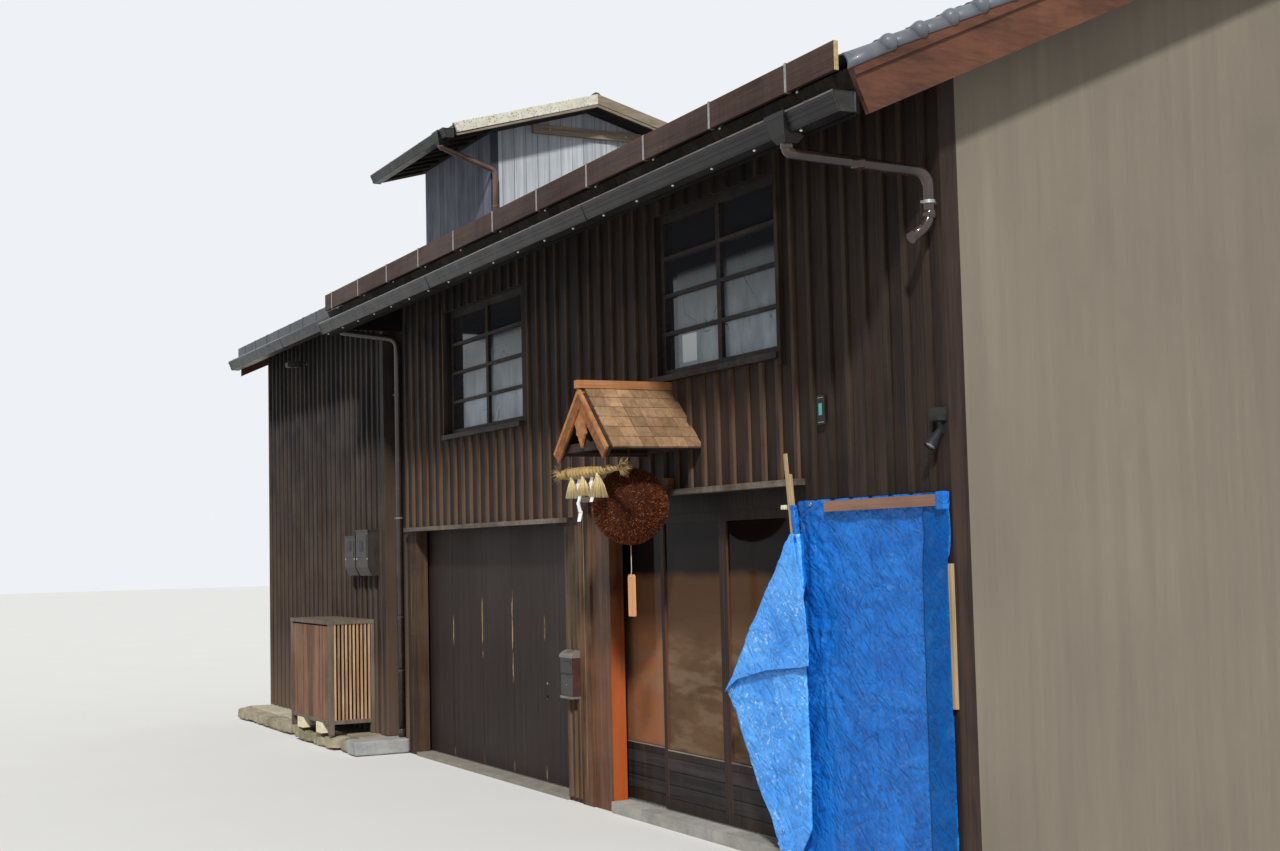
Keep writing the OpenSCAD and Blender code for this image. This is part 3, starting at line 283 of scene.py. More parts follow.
def wood(name, dark, light, along="z", across=60.0, length=2.2, boards=None, bars=False, sides=None,
        top=None, foot=None, water=None, knots=0.0, rough=0.72, bump=0.35, marks=(), shine=0.16,
        uneven=0.35):
    # boards = (axis, start, width); sides = painted sunlight on the faces along an axis: (axis, colour,
    # share);
    # top and foot = colours above and below a height, mostly painted shade and painted sunlight:
    # (low, high, colour, share); water = (share, colour); marks = worn streaks up a joint: (x, low, high)
    tree, shader, spot = startMaterial(name, Specular_IOR_Level=shine)
    axes = axesOf(tree, spot)
    vector, tone, joint = turned(tree, spot, along), None, None
    if boards:
        split = useGroup(tree, boardSplit, {"Across": axes["xyz".index(boards[0])], "Start": boards[1],
            "Width": boards[2]})
        tone, joint = split["Tone"], split["Joint"]
    if bars:
        tone = place(tree, "ShaderNodeAttribute", attribute_name="tone").outputs["Fac"]
    if tone is not None:
        vector = shifted(tree, vector, vectorOf(tree, tone, tone, times(tree, tone, 17.0)))
    fibres = useGroup(tree, grain, {"Vector": vector, "Dark": dark, "Light": light, "Across": across,
        "Along": length, "Knots": knots})
    shade = fibres["Color"]
    if tone is not None:
        value = span(tree, tone, 0.0, 1.0, 1.0 - uneven, 1.0 + 0.9 * uneven)
        shade = place(tree, "ShaderNodeHueSaturation", {"Value": value, "Color": shade}).outputs[0]
    # sides: painted sunlight on the faces that look along the axis
    if sides:
        facing = axesOf(tree, place(tree, "ShaderNodeNewGeometry").outputs["True Normal"])
        mask = span(tree, calc(tree, "ABSOLUTE", facing["xyz".index(sides[0])]), 0.6, 0.9, 0.0, sides[2])
        shade = mix(tree, mask, shade, sides[1])
    # top: painted shade under the eaves, the door heads and the canopy; foot: painted sunlight low on the
    # walls; on the walls both are partly weathering too
    for band in (top, foot):
        if band:
            wavy = calc(tree, "ADD", axes[2], span(tree, noiseOf(tree, stretched(tree, spot, (9, 9, 1)),
                1.0, 3.0), 0.0, 1.0, -0.25, 0.25))
            shade = mix(tree, span(tree, wavy, band[0], band[1], 0.0, band[3]), shade, band[2])
    if water:
        shade = watered(tree, spot, shade, 16.0, water)
    torn = noiseOf(tree, stretched(tree, spot, (60, 60, 14)), 1.0, 4.0) if marks else None
    for x, low, high in marks:
        near = span(tree, calc(tree, "ABSOLUTE", calc(tree, "SUBTRACT", axes[0], x)), 0.006, 0.016, 1.0,
            0.0)
        ends = times(tree, span(tree, axes[2], low, low + 0.05), span(tree, axes[2], high, high - 0.08))
        mask = times(tree, times(tree, near, ends), span(tree, torn, 0.4, 0.52))
        shade = mix(tree, mask, shade, "#9c8156")
    height = fibres["Height"]
    if joint is not None:
        shade = mix(tree, times(tree, joint, 0.9), shade, "#0b0908")
        height = calc(tree, "SUBTRACT", height, times(tree, joint, 4.0))
    wire(tree, shader, shade, span(tree, fibres["Patch"], 0.0, 1.0, rough - 0.1, rough + 0.1), height, bump)


def plain(name, base, second, scale=6.0, rough=0.5, metal=0.0, spots=None, bump=0.15, water=None, coat=0.0,
        shine=0.3):
    # An even finish with cloudy tone, a few spots (colour, share, scale) and water marks (share, colour)
    tree, shader, spot = startMaterial(name, Metallic=metal, Coat_Weight=coat, Specular_IOR_Level=shine)
    cloud = span(tree, noiseOf(tree, spot, scale, 6.0, 0.62), 0.3, 0.7)
    shade = mix(tree, cloud, base, second)
    height = cloud
    if spots:
        mask = useGroup(tree, speckle, {"Vector": spot, "Scale": spots[2], "Share": spots[1]})["Mask"]
        shade = mix(tree, mask, shade, spots[0])
        height = calc(tree, "ADD", cloud, mask)
    if water:
        shade = watered(tree, spot, shade, 11.0, water)
    wire(tree, shader, shade, span(tree, cloud, 0.0, 1.0, rough - 0.08, rough + 0.1), height, bump)


def stoneFinish(name, base, second, moss, grainScale=160.0):
    tree, shader, spot = startMaterial(name, Specular_IOR_Level=0.25)
    cloud = span(tree, noiseOf(tree, spot, 5.0, 8.0, 0.7), 0.3, 0.7)
    grit = cellsOf(tree, spot, grainScale)
    shade = mix(tree, cloud, base, second)
    shade = mix(tree, span(tree, grit, 0.0, 0.7, 0.5, 0.0), shade, "#4f4a42")
    growth = times(tree, span(tree, noiseOf(tree, spot, 3.0, 6.0, 0.6), 0.5, 0.68), moss)
    shade = mix(tree, growth, shade, "#6d6a4a")
    wire(tree, shader, shade, span(tree, cloud, 0.0, 1.0, 0.82, 0.98),
        calc(tree, "ADD", times(tree, cloud, 2.0), grit), 0.6, 0.006)


def toned(name, colours, rough=0.7, bump=0.2, scale=90.0):
    # For scattered or repeated small parts: each takes its own colour from its tone
    tree, shader, spot = startMaterial(name, Specular_IOR_Level=0.2)
    tone = place(tree, "ShaderNodeAttribute", attribute_name="tone").outputs["Fac"]
    ramp = place(tree, "ShaderNodeValToRGB", {0: tone})
    marks = ramp.color_ramp.elements
    while len(marks) < len(colours):
        marks.new(0.5)
    for k, (at, code) in enumerate(colours):
        marks[k].position = at
        marks[k].color = paint(code)
    cloud = span(tree, noiseOf(tree, spot, scale, 3.0), 0.3, 0.7)
    shade = mix(tree, times(tree, cloud, 0.3), ramp.outputs[0], "#20160f")
    wire(tree, shader, shade, span(tree, cloud, 0.0, 1.0, rough - 0.08, rough + 0.1), cloud, bump, 0.001)


def paneGlass(name, rows, columns, clearTop, leftEdge, paperBox=None):
    # Upper window glass: the top row is clear, painted dark for shade; the lower rows are dusty and frosted,
    # and painted eave shade darkens them towards the top
    tree, shader, spot = startMaterial(name, Specular_IOR_Level=0.3)
    axes = axesOf(tree, spot)
    frost = times(tree, span(tree, axes[2], clearTop - 0.02, clearTop - 0.16, 0.0, 1.0),
        span(tree, axes[0], leftEdge - 0.01, leftEdge + 0.01))
    smear = span(tree, noiseOf(tree, stretched(tree, spot, (1.0, 1.0, 0.35)), 7.0, 6.0, 0.65), 0.3, 0.75)
    row, column = [useGroup(tree, boardSplit, {"Across": axes[axis], "Start": start, "Width": width,
        "Gap": 0.001})["Tone"] for axis, start, width in ((2, *rows), (0, *columns))]
    level = calc(tree, "ADD", times(tree, smear, 0.6), times(tree, calc(tree, "ADD", row, column), 0.2))
    dustAndShade = mix(tree, level, "#48525a", "#a9b6be")
    # painted eave shade over the upper frosted rows
    high = span(tree, axes[2], clearTop - 0.55, clearTop - 0.1, 0.0, 0.8)
    dustAndShade = mix(tree, high, dustAndShade, "#3b3d3c")
    bent = place(tree, "ShaderNodeTexNoise", {"Vector": spot, "Scale": 5.0, "Detail": 4.0}).outputs[1]
    warped = shifted(tree, spot, stretched(tree, bent, (0.25,) * 3))
    cracks = cellsOf(tree, warped, 2.6, "DISTANCE_TO_EDGE")
    crack = times(tree, span(tree, cracks, 0.004, 0.012, 1.0, 0.0),
        span(tree, noiseOf(tree, spot, 3.1, 2.0), 0.5, 0.56))
    dustAndShade = mix(tree, times(tree, crack, 0.75), dustAndShade, "#1b2022")
    # the clear glass is painted dark, standing in for shade
    shade = mix(tree, frost, "#26272a", dustAndShade)
    if paperBox:
        inside = 1.0
        for axis, low, high in ((0, paperBox[0], paperBox[1]), (2, paperBox[2], paperBox[3])):
            inside = times(tree, inside, calc(tree, "GREATER_THAN", axes[axis], low))
            inside = times(tree, inside, calc(tree, "LESS_THAN", axes[axis], high))
        shade = mix(tree, inside, shade, "#c3c9cb")
    wire(tree, shader, shade, span(tree, frost, 0.0, 1.0, 0.06, 0.34), smear, 0.05, 0.001)


def shopPane(name):
    # Shop glass: the room behind shows faintly; its brown tones are painted for the dim room and for
    # reflections, it is lighter and redder over the left door, and painted reflection of the eaves darkens it
    # towards the head
    tree, shader, spot = startMaterial(name, Transmission_Weight=0.3, IOR=1.18, Specular_IOR_Level=0.11)
    axes = axesOf(tree, spot)
    tintCloud = span(tree, noiseOf(tree, stretched(tree, spot, (0.6, 1.0, 2.2)), 2.4, 6.0, 0.62), 0.3, 0.7)
    wavy = calc(tree, "ADD", axes[2], span(tree, noiseOf(tree, stretched(tree, spot, (2, 2, 0.5)), 1.0,
        3.0), 0.0, 1.0, -0.06, 0.06))
    shade = mix(tree, tintCloud, "#5c422c", "#775a40")
    shade = mix(tree, span(tree, axes[0], 2.86, 2.7, 0.0, 0.75), shade, "#a8704e")
    grime = times(tree, span(tree, noiseOf(tree, stretched(tree, spot, (3, 3, 12)), 1.0, 4.0), 0.48, 0.6),
        0.5)
    shade = mix(tree, times(tree, grime, span(tree, wavy, 1.2, 1.0)), shade, "#917a62")
    # painted reflection of the eaves: darker bands towards the head
    shade = mix(tree, span(tree, wavy, 1.12, 1.3, 0.0, 0.8), shade, "#543925")
    shade = mix(tree, span(tree, wavy, 1.5, 1.56), shade, "#1b1412")
    wire(tree, shader, shade, span(tree, tintCloud, 0.0, 1.0, 0.03, 0.1))
    clear = place(tree, "ShaderNodeBsdfTransparent", {0: "#b8aa98"})
    shadow = place(tree, "ShaderNodeLightPath").outputs["Is Shadow Ray"]
    both = place(tree, "ShaderNodeMixShader", {0: shadow, 1: shader.outputs[0], 2: clear.outputs[0]})
    output = next(n for n in tree.nodes if n.type == "OUTPUT_MATERIAL")
    tree.links.new(both.outputs[0], output.inputs["Surface"])


def sheetFinish(name, base, second, glint, shimmer=0.3, depth=0.006, shine=0.3):
    # Woven plastic sheet: painted light and shade follow the creases, pale spots are painted glints,
    # and a few spots are soiled
    tree, shader, spot = startMaterial(name, Specular_IOR_Level=shine)
    folds = useGroup(tree, creases, {"Vector": spot, "Scale": 9.0, "Depth": depth})
    cloud = span(tree, noiseOf(tree, spot, 3.4, 5.0, 0.6), 0.3, 0.7)
    shade = mix(tree, cloud, base, second)
    # painted shade on the crease ridges, painted light between them
    value = span(tree, folds["Tone"], 0.0, 1.0, 1.1, 0.84)
    shade = place(tree, "ShaderNodeHueSaturation", {"Value": value, "Color": shade}).outputs[0]
    # painted glints
    sparkle = times(tree, span(tree, noiseOf(tree, stretched(tree, spot, (30, 30, 44)), 1.0, 3.0, 0.7),
        0.56, 0.66), span(tree, noiseOf(tree, spot, 5.0, 3.0), 0.42, 0.62))
    shade = mix(tree, times(tree, sparkle, shimmer), shade, glint)
    soil = useGroup(tree, speckle, {"Vector": spot, "Scale": 9.0, "Share": 0.42})["Mask"]
    shade = mix(tree, times(tree, soil, 0.15), shade, "#4d6f93")
    wire(tree, shader, shade, span(tree, folds["Tone"], 0.0, 1.0, 0.32, 0.5), folds["Height"], 1.0, 1.0)


# In these woods the top bands are painted shade and the foot bands painted sunlight, both partly weathering
# on the walls; the sides colours are painted sunlight on the faces along X
wood("leftBoards", "#1b1716", "#332b28", boards=("x", -5.767, 0.1574), sides=("x", "#6b5340", 0.4),
    top=(1.6, 3.0, "#1b1a1c", 0.8), foot=(1.0, 0.2, "#5e4d41", 0.6), water=(0.2, "#574b42"))
wood("frontBoards", "#1b1615", "#302723", boards=("x", -1.363, 0.1708), top=(2.3, 3.4, "#181618", 0.85),
    foot=(2.4, 1.9, "#403229", 0.35), water=(0.2, "#4a3e37"))
wood("shopBoards", "#1f1815", "#382b25", boards=("x", 4.822, 0.1708), top=(3.0, 3.9, "#191616", 0.6),
    water=(0.2, "#4a3b31"))
wood("lowBoards", "#1f1815", "#3b2e27", boards=("x", -2.0, 0.085), top=(1.2, 2.0, "#171413", 0.6),
    foot=(0.9, 0.1, "#4c3d32", 0.4), water=(0.3, "#5e4f42"))
wood("battens", "#221a17", "#40312a", bars=True, sides=("x", "#7b593c", 0.5),
    top=(2.5, 3.6, "#1b191a", 0.85), foot=(2.3, 1.9, "#6b5948", 0.45), water=(0.3, "#675647"))
wood("leftBattens", "#211c1b", "#3c322d", bars=True, sides=("x", "#6c5541", 0.4),
    top=(1.6, 3.0, "#232326", 0.8), foot=(1.0, 0.15, "#6f5c4c", 0.6), water=(0.25, "#62564b"))
# A darker copy of the battens for the right wall: painted shade
wood("shadedRightBattens", "#1b1513", "#33281f", bars=True, sides=("x", "#43342a", 0.3),
    top=(2.4, 3.0, "#3d3129", 0.5), water=(0.3, "#4a3d33"))
wood("pierRib", "#2a201a", "#4b3a2f", sides=("x", "#96734f", 0.35), top=(0.9, 1.5, "#241d1a", 0.9),
    water=(0.35, "#7b6855"), across=45.0)
wood("backBoards", "#2c241f", "#4f4136", boards=("x", -5.97, 0.1708), top=(2.6, 3.8, "#1f1c1c", 0.7),
    foot=(1.0, 0.1, "#5f4e40", 0.4), water=(0.35, "#6b5d50"))
wood("postWood", "#2f1f17", "#63432f", sides=("x", "#7a5538", 0.3), top=(0.9, 1.6, "#211713", 0.9),
    water=(0.4, "#8a6a4d"), across=45.0)
wood("jambWood", "#211813", "#3f2f26", sides=("x", "#6b4c34", 0.2), water=(0.35, "#64503f"))
wood("reddishBoard", "#38231a", "#6b432e", across=50.0, top=(0.8, 1.5, "#23150f", 0.9),
    sides=("x", "#b0521d", 0.85), rough=0.5, water=(0.3, "#93694a"))
wood("driftWood", "#3a332d", "#6f6457", along="x", water=(0.3, "#9a8f80"), across=40.0)
wood("doorBoards", "#211917", "#312724", across=90.0, length=1.2, water=(0.2, "#453a34"),
    top=(1.2, 1.9, "#261f1d", 0.5), rough=0.6, bump=0.15, shine=0.12, marks=[(-0.968, 0.94, 1.2),
    (-0.314, 0.86, 1.36), (0.307, 0.69, 1.42), (0.917, 1.05, 1.24), (-0.968, 0.04, 0.12),
    (-0.314, 0.04, 0.16), (0.307, 0.04, 0.13), (0.917, 0.04, 0.15)])
wood("palePostLine", "#5c4a38", "#a98e64", across=120.0, length=6.0)
wood("darkTimber", "#1b1412", "#302521", sides=("x", "#7a4d36", 0.5), rough=0.6, water=(0.15, "#54473c"),
    top=(1.75, 2.0, "#110d0d", 0.8))
wood("footBoards", "#1f1b1a", "#353030", along="x", boards=("z", 0.15, 0.0833), rough=0.7,
    water=(0.2, "#57504a"))
wood("railEdge", "#6d6258", "#9a8e80", along="x", across=60.0)
wood("windowWood", "#1d1a19", "#36302d", along="x", rough=0.65, water=(0.2, "#5f5850"))
wood("snowWood", "#271a16", "#493329", along="x", across=34.0, length=1.3, knots=0.5, rough=0.6,
    water=(0.2, "#5e4a40"), shine=0.2)
wood("endGrain", "#8f7a4f", "#c0ab78", along="y", across=120.0, length=30.0)
wood("eaveWood", "#0c0b0c", "#181617", along="x", rough=0.8, shine=0.1)
wood("deckWood", "#241f1c", "#3d352f", along="y", boards=("x", 0.0, 0.16), rough=0.8)
wood("gableBoard", "#432a1f", "#6f4733", along="y", across=14.0, length=2.4, knots=0.35, rough=0.5,
    water=(0.15, "#38251d"), shine=0.22)
wood("floorBoards", "#4b3828", "#6f563e", along="x", boards=("y", 0.0, 0.18))
wood("canopyWood", "#6d4228", "#a36b40", along="y", across=42.0, water=(0.3, "#4f362a"))
# A darker copy of canopyWood: painted shade on the canopy's frame and on its deck under the shingles
wood("canopyInShade", "#2a211d", "#4b3a30", along="y", across=42.0)
wood("ridgeBatten", "#8f5a37", "#bd8552", along="y", across=50.0, water=(0.15, "#c9a27c"))
wood("shingleWood", "#7d6148", "#a98765", bars=True, along="x", across=60.0, length=12.0,
    water=(0.25, "#8d6a4a"), rough=0.8)
wood("paleBatten", "#8f7a5c", "#bda27b", across=50.0, rough=0.7, water=(0.2, "#7a664c"))
wood("orangeBatten", "#80604f", "#9f7a68", along="x", across=50.0, rough=0.65)
wood("tagWood", "#c58a5e", "#e0ab7d", across=90.0, rough=0.6)
wood("coverFront", "#54392a", "#84624b", bars=True, across=70.0, water=(0.3, "#9b7b64"))
wood("coverFrame", "#4f4239", "#776656", across=50.0, water=(0.3, "#8b8176"))
wood("coverSlat", "#856548", "#d3b08c", bars=True, across=60.0, rough=0.7, uneven=0.25)
# The raised storey's siding in two copies: darker on its front for painted shade, light on its gable for
# painted sunlight
wood("raisedFrontShaded", "#4a4c57", "#737785", boards=("x", -5.97, 0.118), across=60.0, water=(0.3, "#898c96"),
    uneven=0.15)
wood("raisedGableSunlit", "#979b9f", "#c4c8cb", boards=("y", 1.73, 0.135), across=60.0, length=1.4,
    water=(0.2, "#8b8d8f"), rough=0.8, bump=0.2, uneven=0.07)
wood("tieWood", "#6c6152", "#a1917a", along="y", across=40.0, length=4.0, water=(0.3, "#8b8176"))
stoneFinish("creamConcrete", "#b3a88f", "#d3c9b0", moss=0.25, grainScale=200.0)
stoneFinish("stoneLedge", "#8d8470", "#b7ab92", moss=0.75)
stoneFinish("concreteBlock", "#8f9190", "#b5b6b2", moss=0.15, grainScale=260.0)
stoneFinish("sillStone", "#8f8d86", "#bdbab0", moss=0.2, grainScale=220.0)
stoneFinish("groundConcrete", "#7f7a70", "#a19b8e", moss=0.1, grainScale=240.0)
plain("partyPlaster", "#6f675b", "#81786a", scale=1.1, rough=0.9, bump=0.35, water=(0.25, "#5b544b"))
plain("roofTile", "#3c4148", "#5d646c", scale=9.0, rough=0.5, spots=("#767b78", 0.36, 50.0), bump=0.2,
    coat=0.1)
plain("vergeTile", "#4d5157", "#6c7076", scale=5.0, rough=0.42, bump=0.1, coat=0.12)
plain("mortar", "#8b8d8c", "#b0b1ae", scale=12.0, rough=0.9, bump=0.4)
plain("gutterMetal", "#111011", "#1c1b1b", scale=7.0, rough=0.42, bump=0.04, water=(0.12, "#333131"),
    coat=0.05, shine=0.25)
# Pale finish: partly painted highlight on the gutters' lip beads, and the pale metal of their straps and a
# pipe clamp
plain("lipHighlightAndPaleMetal", "#4a4846", "#6c6966", scale=7.0, rough=0.3, bump=0.05, coat=0.3)
plain("gutterCap", "#1c1b19", "#33312f", scale=12.0, rough=0.4, bump=0.06, coat=0.1)
plain("strapMetal", "#7c7772", "#aaa6a0", scale=60.0, rough=0.5, metal=0.4, bump=0.08)
plain("pipeDark", "#2b211d", "#3d302a", scale=6.0, rough=0.22, bump=0.03, coat=0.6)
plain("pipeBrown", "#4d3a33", "#6a5146", scale=6.0, rough=0.35, bump=0.03, coat=0.4)
plain("steel", "#8f9192", "#b3b5b5", scale=30.0, rough=0.42, metal=0.8, spots=("#6f6a60", 0.34, 70.0),
    bump=0.08)
plain("whiteCap", "#d9dad6", "#f2f2ee", scale=30.0, rough=0.5, bump=0.05)
plain("darkMetal", "#26292c", "#3b3f43", scale=9.0, rough=0.42, bump=0.06, water=(0.2, "#5a5c5c"))
plain("roofMetal", "#3a2f2c", "#524541", scale=3.0, rough=0.45, metal=0.3, bump=0.08,
    spots=("#6a5a52", 0.34, 70.0), water=(0.3, "#6a605a"))
plain("lichen", "#bdb8a6", "#dcd7c8", scale=14.0, rough=0.9, spots=("#98937f", 0.5, 38.0), bump=0.3)
plain("boxFront", "#211e1d", "#2f2b29", scale=9.0, rough=0.45, bump=0.04, water=(0.2, "#434341"))
plain("boxLow", "#202221", "#2f3230", scale=9.0, rough=0.4, bump=0.04)
plain("boxSide", "#3f2722", "#54362e", scale=9.0, rough=0.42, bump=0.05)
plain("boxLid", "#5b5650", "#7d776f", scale=9.0, rough=0.4, bump=0.05)
plain("meterGrey", "#211b19", "#322b27", scale=9.0, rough=0.5, bump=0.06, spots=("#6a635c", 0.26, 90.0),
    water=(0.2, "#4a423c"))
plain("lampGrey", "#252628", "#3a3c3e", scale=9.0, rough=0.5, bump=0.05, shine=0.2)
plain("lampDark", "#151618", "#25272a", scale=9.0, rough=0.5, bump=0.05, shine=0.2)
plain("lens", "#9aa0a3", "#d8dcdd", scale=20.0, rough=0.12, metal=0.6, bump=0.02, coat=0.8)
plain("sensorCase", "#201f1f", "#333231", scale=20.0, rough=0.55, bump=0.03, shine=0.2)
plain("creamBlock", "#cdc29c", "#e6ddbd", scale=14.0, rough=0.7, bump=0.1, spots=("#9c9376", 0.33, 70.0))
plain("holeDark", "#0c0b0a", "#171513", scale=20.0, rough=0.9, bump=0.05)
plain("tealPlate", "#1f7f73", "#2fa695", scale=20.0, rough=0.3, bump=0.02, coat=0.5)
plain("paper", "#e9e9e6", "#ffffff", scale=20.0, rough=0.8, bump=0.1)
plain("cordPale", "#b8ac90", "#d8cdb2", scale=80.0, rough=0.85, bump=0.4)
toned("strawRope", [(0.0, "#7d6238"), (0.5, "#bd9f69"), (1.0, "#e6d09f")], 0.8, 0.5, 160.0)
toned("strawPale", [(0.0, "#bf9a58"), (0.5, "#ecd190"), (1.0, "#fff3cc")], 0.8, 0.3, 160.0)
toned("cedarSprigs", [(0.0, "#33150a"), (0.4, "#642b12"), (0.78, "#9c4c20"), (0.92, "#c27a46"),
    (1.0, "#e6c08f")], 0.8, 0.3, 60.0)
plain("cedarCore", "#32170b", "#4d2411", scale=40.0, rough=0.95, bump=0.5)
# The flap's copy is lighter, painted sunlight; the copy under the hem is darker, painted shadow
sheetFinish("blueSheet", "#0c59ac", "#1b76cf", "#66a6ea", 0.3, 0.0075, 0.22)
sheetFinish("blueFlapSunlit", "#318de8", "#55a8f6", "#d3e8ff", 0.6, 0.007)
sheetFinish("blueStrip", "#004a94", "#02589f", "#1c66b8", 0.2, 0.006, 0.08)
sheetFinish("blueHemShadow", "#0b4ea3", "#135ab3", "#2058a5", 0.25)
paneGlass("leftPanes", (2.693, 0.236), (-0.655, 0.757), 3.42, -0.45)
paneGlass("rightPanes", (2.788, 0.236), (3.085, 0.692), 3.42, 3.21, (3.26, 3.44, 2.83, 3.0))
shopPane("shopGlass")
print("materials made:", len(finishes))


# Tools for pieces

def corner(bm, points):
    return [bm.verts.new(p) for p in points]


def angles(count, start=0.0):
    return [start + 2 * math.pi * k / count for k in range(count)]


def boxInto(bm, low, high, mat=0):
    x0, y0, z0 = low
    x1, y1, z1 = high
    v = corner(bm, [(x0, y0, z0), (x1, y0, z0), (x1, y1, z0), (x0, y1, z0), (x0, y0, z1), (x1, y0, z1),
        (x1, y1, z1), (x0, y1, z1)])
    for ring in ((3, 2, 1, 0), (4, 5, 6, 7), (0, 1, 5, 4), (1, 2, 6, 5), (2, 3, 7, 6), (3, 0, 4, 7)):
        bm.faces.new([v[k] for k in ring]).material_index = mat
    return v


def loftInto(bm, rings, mat=0, smooth=False, strip=False):
    # Skins rings of points and closes both ends; strip closes the ends of a thin bent section
    rows = [corner(bm, ring) for ring in rings]
    count = len(rows[0])
    made = [bm.faces.new((a[k], a[(k + 1) % count], b[(k + 1) % count], b[k]))
        for a, b in zip(rows, rows[1:]) for k in range(count)]
    skin = len(made)
    for ring in (rows[0], rows[-1]):
        cells = [(k, k + 1, count - 2 - k, count - 1 - k)
            for k in range(count // 2 - 1)] if strip else [range(count)]
        made += [bm.faces.new([ring[k] for k in cell]) for cell in cells]
    for index, face in enumerate(made):
        face.material_index = mat
        face.smooth = smooth and index < skin
    bmesh.ops.recalc_face_normals(bm, faces=made)
    return rows


def softBlock(bm, low, high, radius=0.006, rough=0.0, cuts=6, seed=0.0, mat=0, grain=9.0):
    # A block with rounded edges whose faces are pressed in unevenly
    low, high = Vector(low), Vector(high)
    first, firstFace = len(bm.verts), len(bm.faces)
    cube = bmesh.ops.create_cube(bm, size=1.0)["verts"]
    bmesh.ops.subdivide_edges(bm, edges=list({e for v in cube for e in v.link_edges}), cuts=cuts,
        use_grid_fill=True)
    bm.verts.ensure_lookup_table()
    bm.faces.ensure_lookup_table()
    for v in bm.verts[first:]:
        t = [math.copysign(0.5 * (1 - (1 - 2 * min(abs(a), 0.5)) ** 1.5), a) for a in v.co]
        p = Vector([low[k] + (high[k] - low[k]) * (t[k] + 0.5) for k in range(3)])
        inner = Vector([min(max(p[k], low[k] + radius), high[k] - radius) for k in range(3)])
        away = (p - inner).normalized()
        press = rough * max(0.0, 0.5 + 0.6 * noise.fractal(p * grain + Vector((seed, seed, seed)), 0.9, 2.0,
            5))
        v.co = inner + away * (radius - press)
    for face in bm.faces[firstFace:]:
        face.material_index = mat
        face.smooth = True


def prismInto(bm, outline, axis, low, high, mat=0):
    # An outline in the two other axes, drawn out along one axis
    def spotAt(a, b, c):
        return {"x": (c, a, b), "y": (a, c, b), "z": (a, b, c)}[axis]
    return loftInto(bm, [[spotAt(a, b, c) for a, b in outline] for c in (low, high)], mat)


def sweepInto(bm, path, radii, sides=12, mat=0):
    # A round tube along a path, whose radius may change
    path = [Vector(p) for p in path]
    if not hasattr(radii, "__len__"):
        radii = [radii] * len(path)
    rings, side = [], None
    for k, spot in enumerate(path):
        ahead = (path[min(k + 1, len(path) - 1)] - path[max(k - 1, 0)]).normalized()
        if side is None:
            side = ahead.orthogonal().normalized()
        side = (side - ahead * side.dot(ahead)).normalized()
        up = ahead.cross(side)
        rings.append(corner(bm, [spot + radii[k] * (math.cos(t) * side + math.sin(t) * up)
            for t in angles(sides)]))
    made = [bm.faces.new((a[j], a[(j + 1) % sides], b[(j + 1) % sides], b[j]))
        for a, b in zip(rings, rings[1:]) for j in range(sides)]
    made += [bm.faces.new(rings[0][::-1]), bm.faces.new(rings[-1])]
    for face in made:
        face.material_index = mat
        face.smooth = len(face.verts) == 4
    return rings


def turnInto(bm, profile, centre, axis, sides=24, mat=0, smooth=True):
    # A profile of (distance from the axis, distance along it), turned round an axis
    axis = Vector(axis).normalized()
    side = axis.orthogonal().normalized()
    up = axis.cross(side)
    centre = Vector(centre)
    rings = []
    for radius, along in profile:
        hub = centre + axis * along
        if radius < 1e-6:
            rings.append([bm.verts.new(hub)])
        else:
            rings.append(corner(bm, [hub + radius * (math.cos(t) * side + math.sin(t) * up)
                for t in angles(sides)]))
    made = []
    for a, b in zip(rings, rings[1:]):
        for j in range(sides):
            ring = [a[j % len(a)], a[(j + 1) % len(a)], b[(j + 1) % len(b)], b[j % len(b)]]
            unique = list(dict.fromkeys(ring))
            if len(unique) > 2:
                made.append(bm.faces.new(unique))
    for face in made:
        face.material_index = mat
        face.smooth = smooth
    bmesh.ops.recalc_face_normals(bm, faces=made)


def rounded(points, radius, steps=6):
    # A path with its inner corners rounded
    points = [Vector(p) for p in points]
    path = [points[0]]
    for a, b, c in zip(points, points[1:], points[2:]):
        reach = min(radius, (a - b).length * 0.45, (c - b).length * 0.45)
        start, end = b + (a - b).normalized() * reach, b + (c - b).normalized() * reach
        for k in range(steps + 1):
            t = k / steps
            path.append((1 - t) ** 2 * start + 2 * t * (1 - t) * b + t * t * end)
    return path + [points[-1]]


def bandInto(bm, radius, swell, half, centre, axis, sides, mat):
    # A soft ring round an axis, such as a binding
    profile = [(radius + swell * math.sin(a), half * math.cos(a)) for a in angles(8) + [2 * math.pi]]
    turnInto(bm, profile, centre, axis, sides=sides, mat=mat)


def meshFrom(name, bm, *keys):
    mesh = bpy.data.meshes.new(name)
    bm.to_mesh(mesh)
    bm.free()
    for key in keys:
        mesh.materials.append(finishes[key])
    return mesh


def added(name, data):
    thing = bpy.data.objects.new(name, data)
    bpy.context.scene.collection.objects.link(thing)
    return thing


def finishPiece(name, bm, keys, slotName, **more):
    return setPiece(name, meshFrom(name, bm, *keys), slotName, **more)


def setPiece(name, mesh, slotName, body="house", replaced=None, bevel=0.0):
    piece = added(name, mesh)
    if bevel:
        edge = piece.modifiers.new("edges", "BEVEL")
        edge.width, edge.segments, edge.limit_method = bevel, 2, "ANGLE"
        edge.angle_limit = math.radians(40)
    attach(piece, body)
    if replaced:
        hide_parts(replaced)
    return piece


def dress(node, *keys):
    # Gives a CAD node its finish
    mats = nodes[node].data.materials
    mats.clear()
    for key in keys:
        mats.append(finishes[key])


# Geometry Nodes trees: a row of parts, a field of parts and parts scattered on a surface

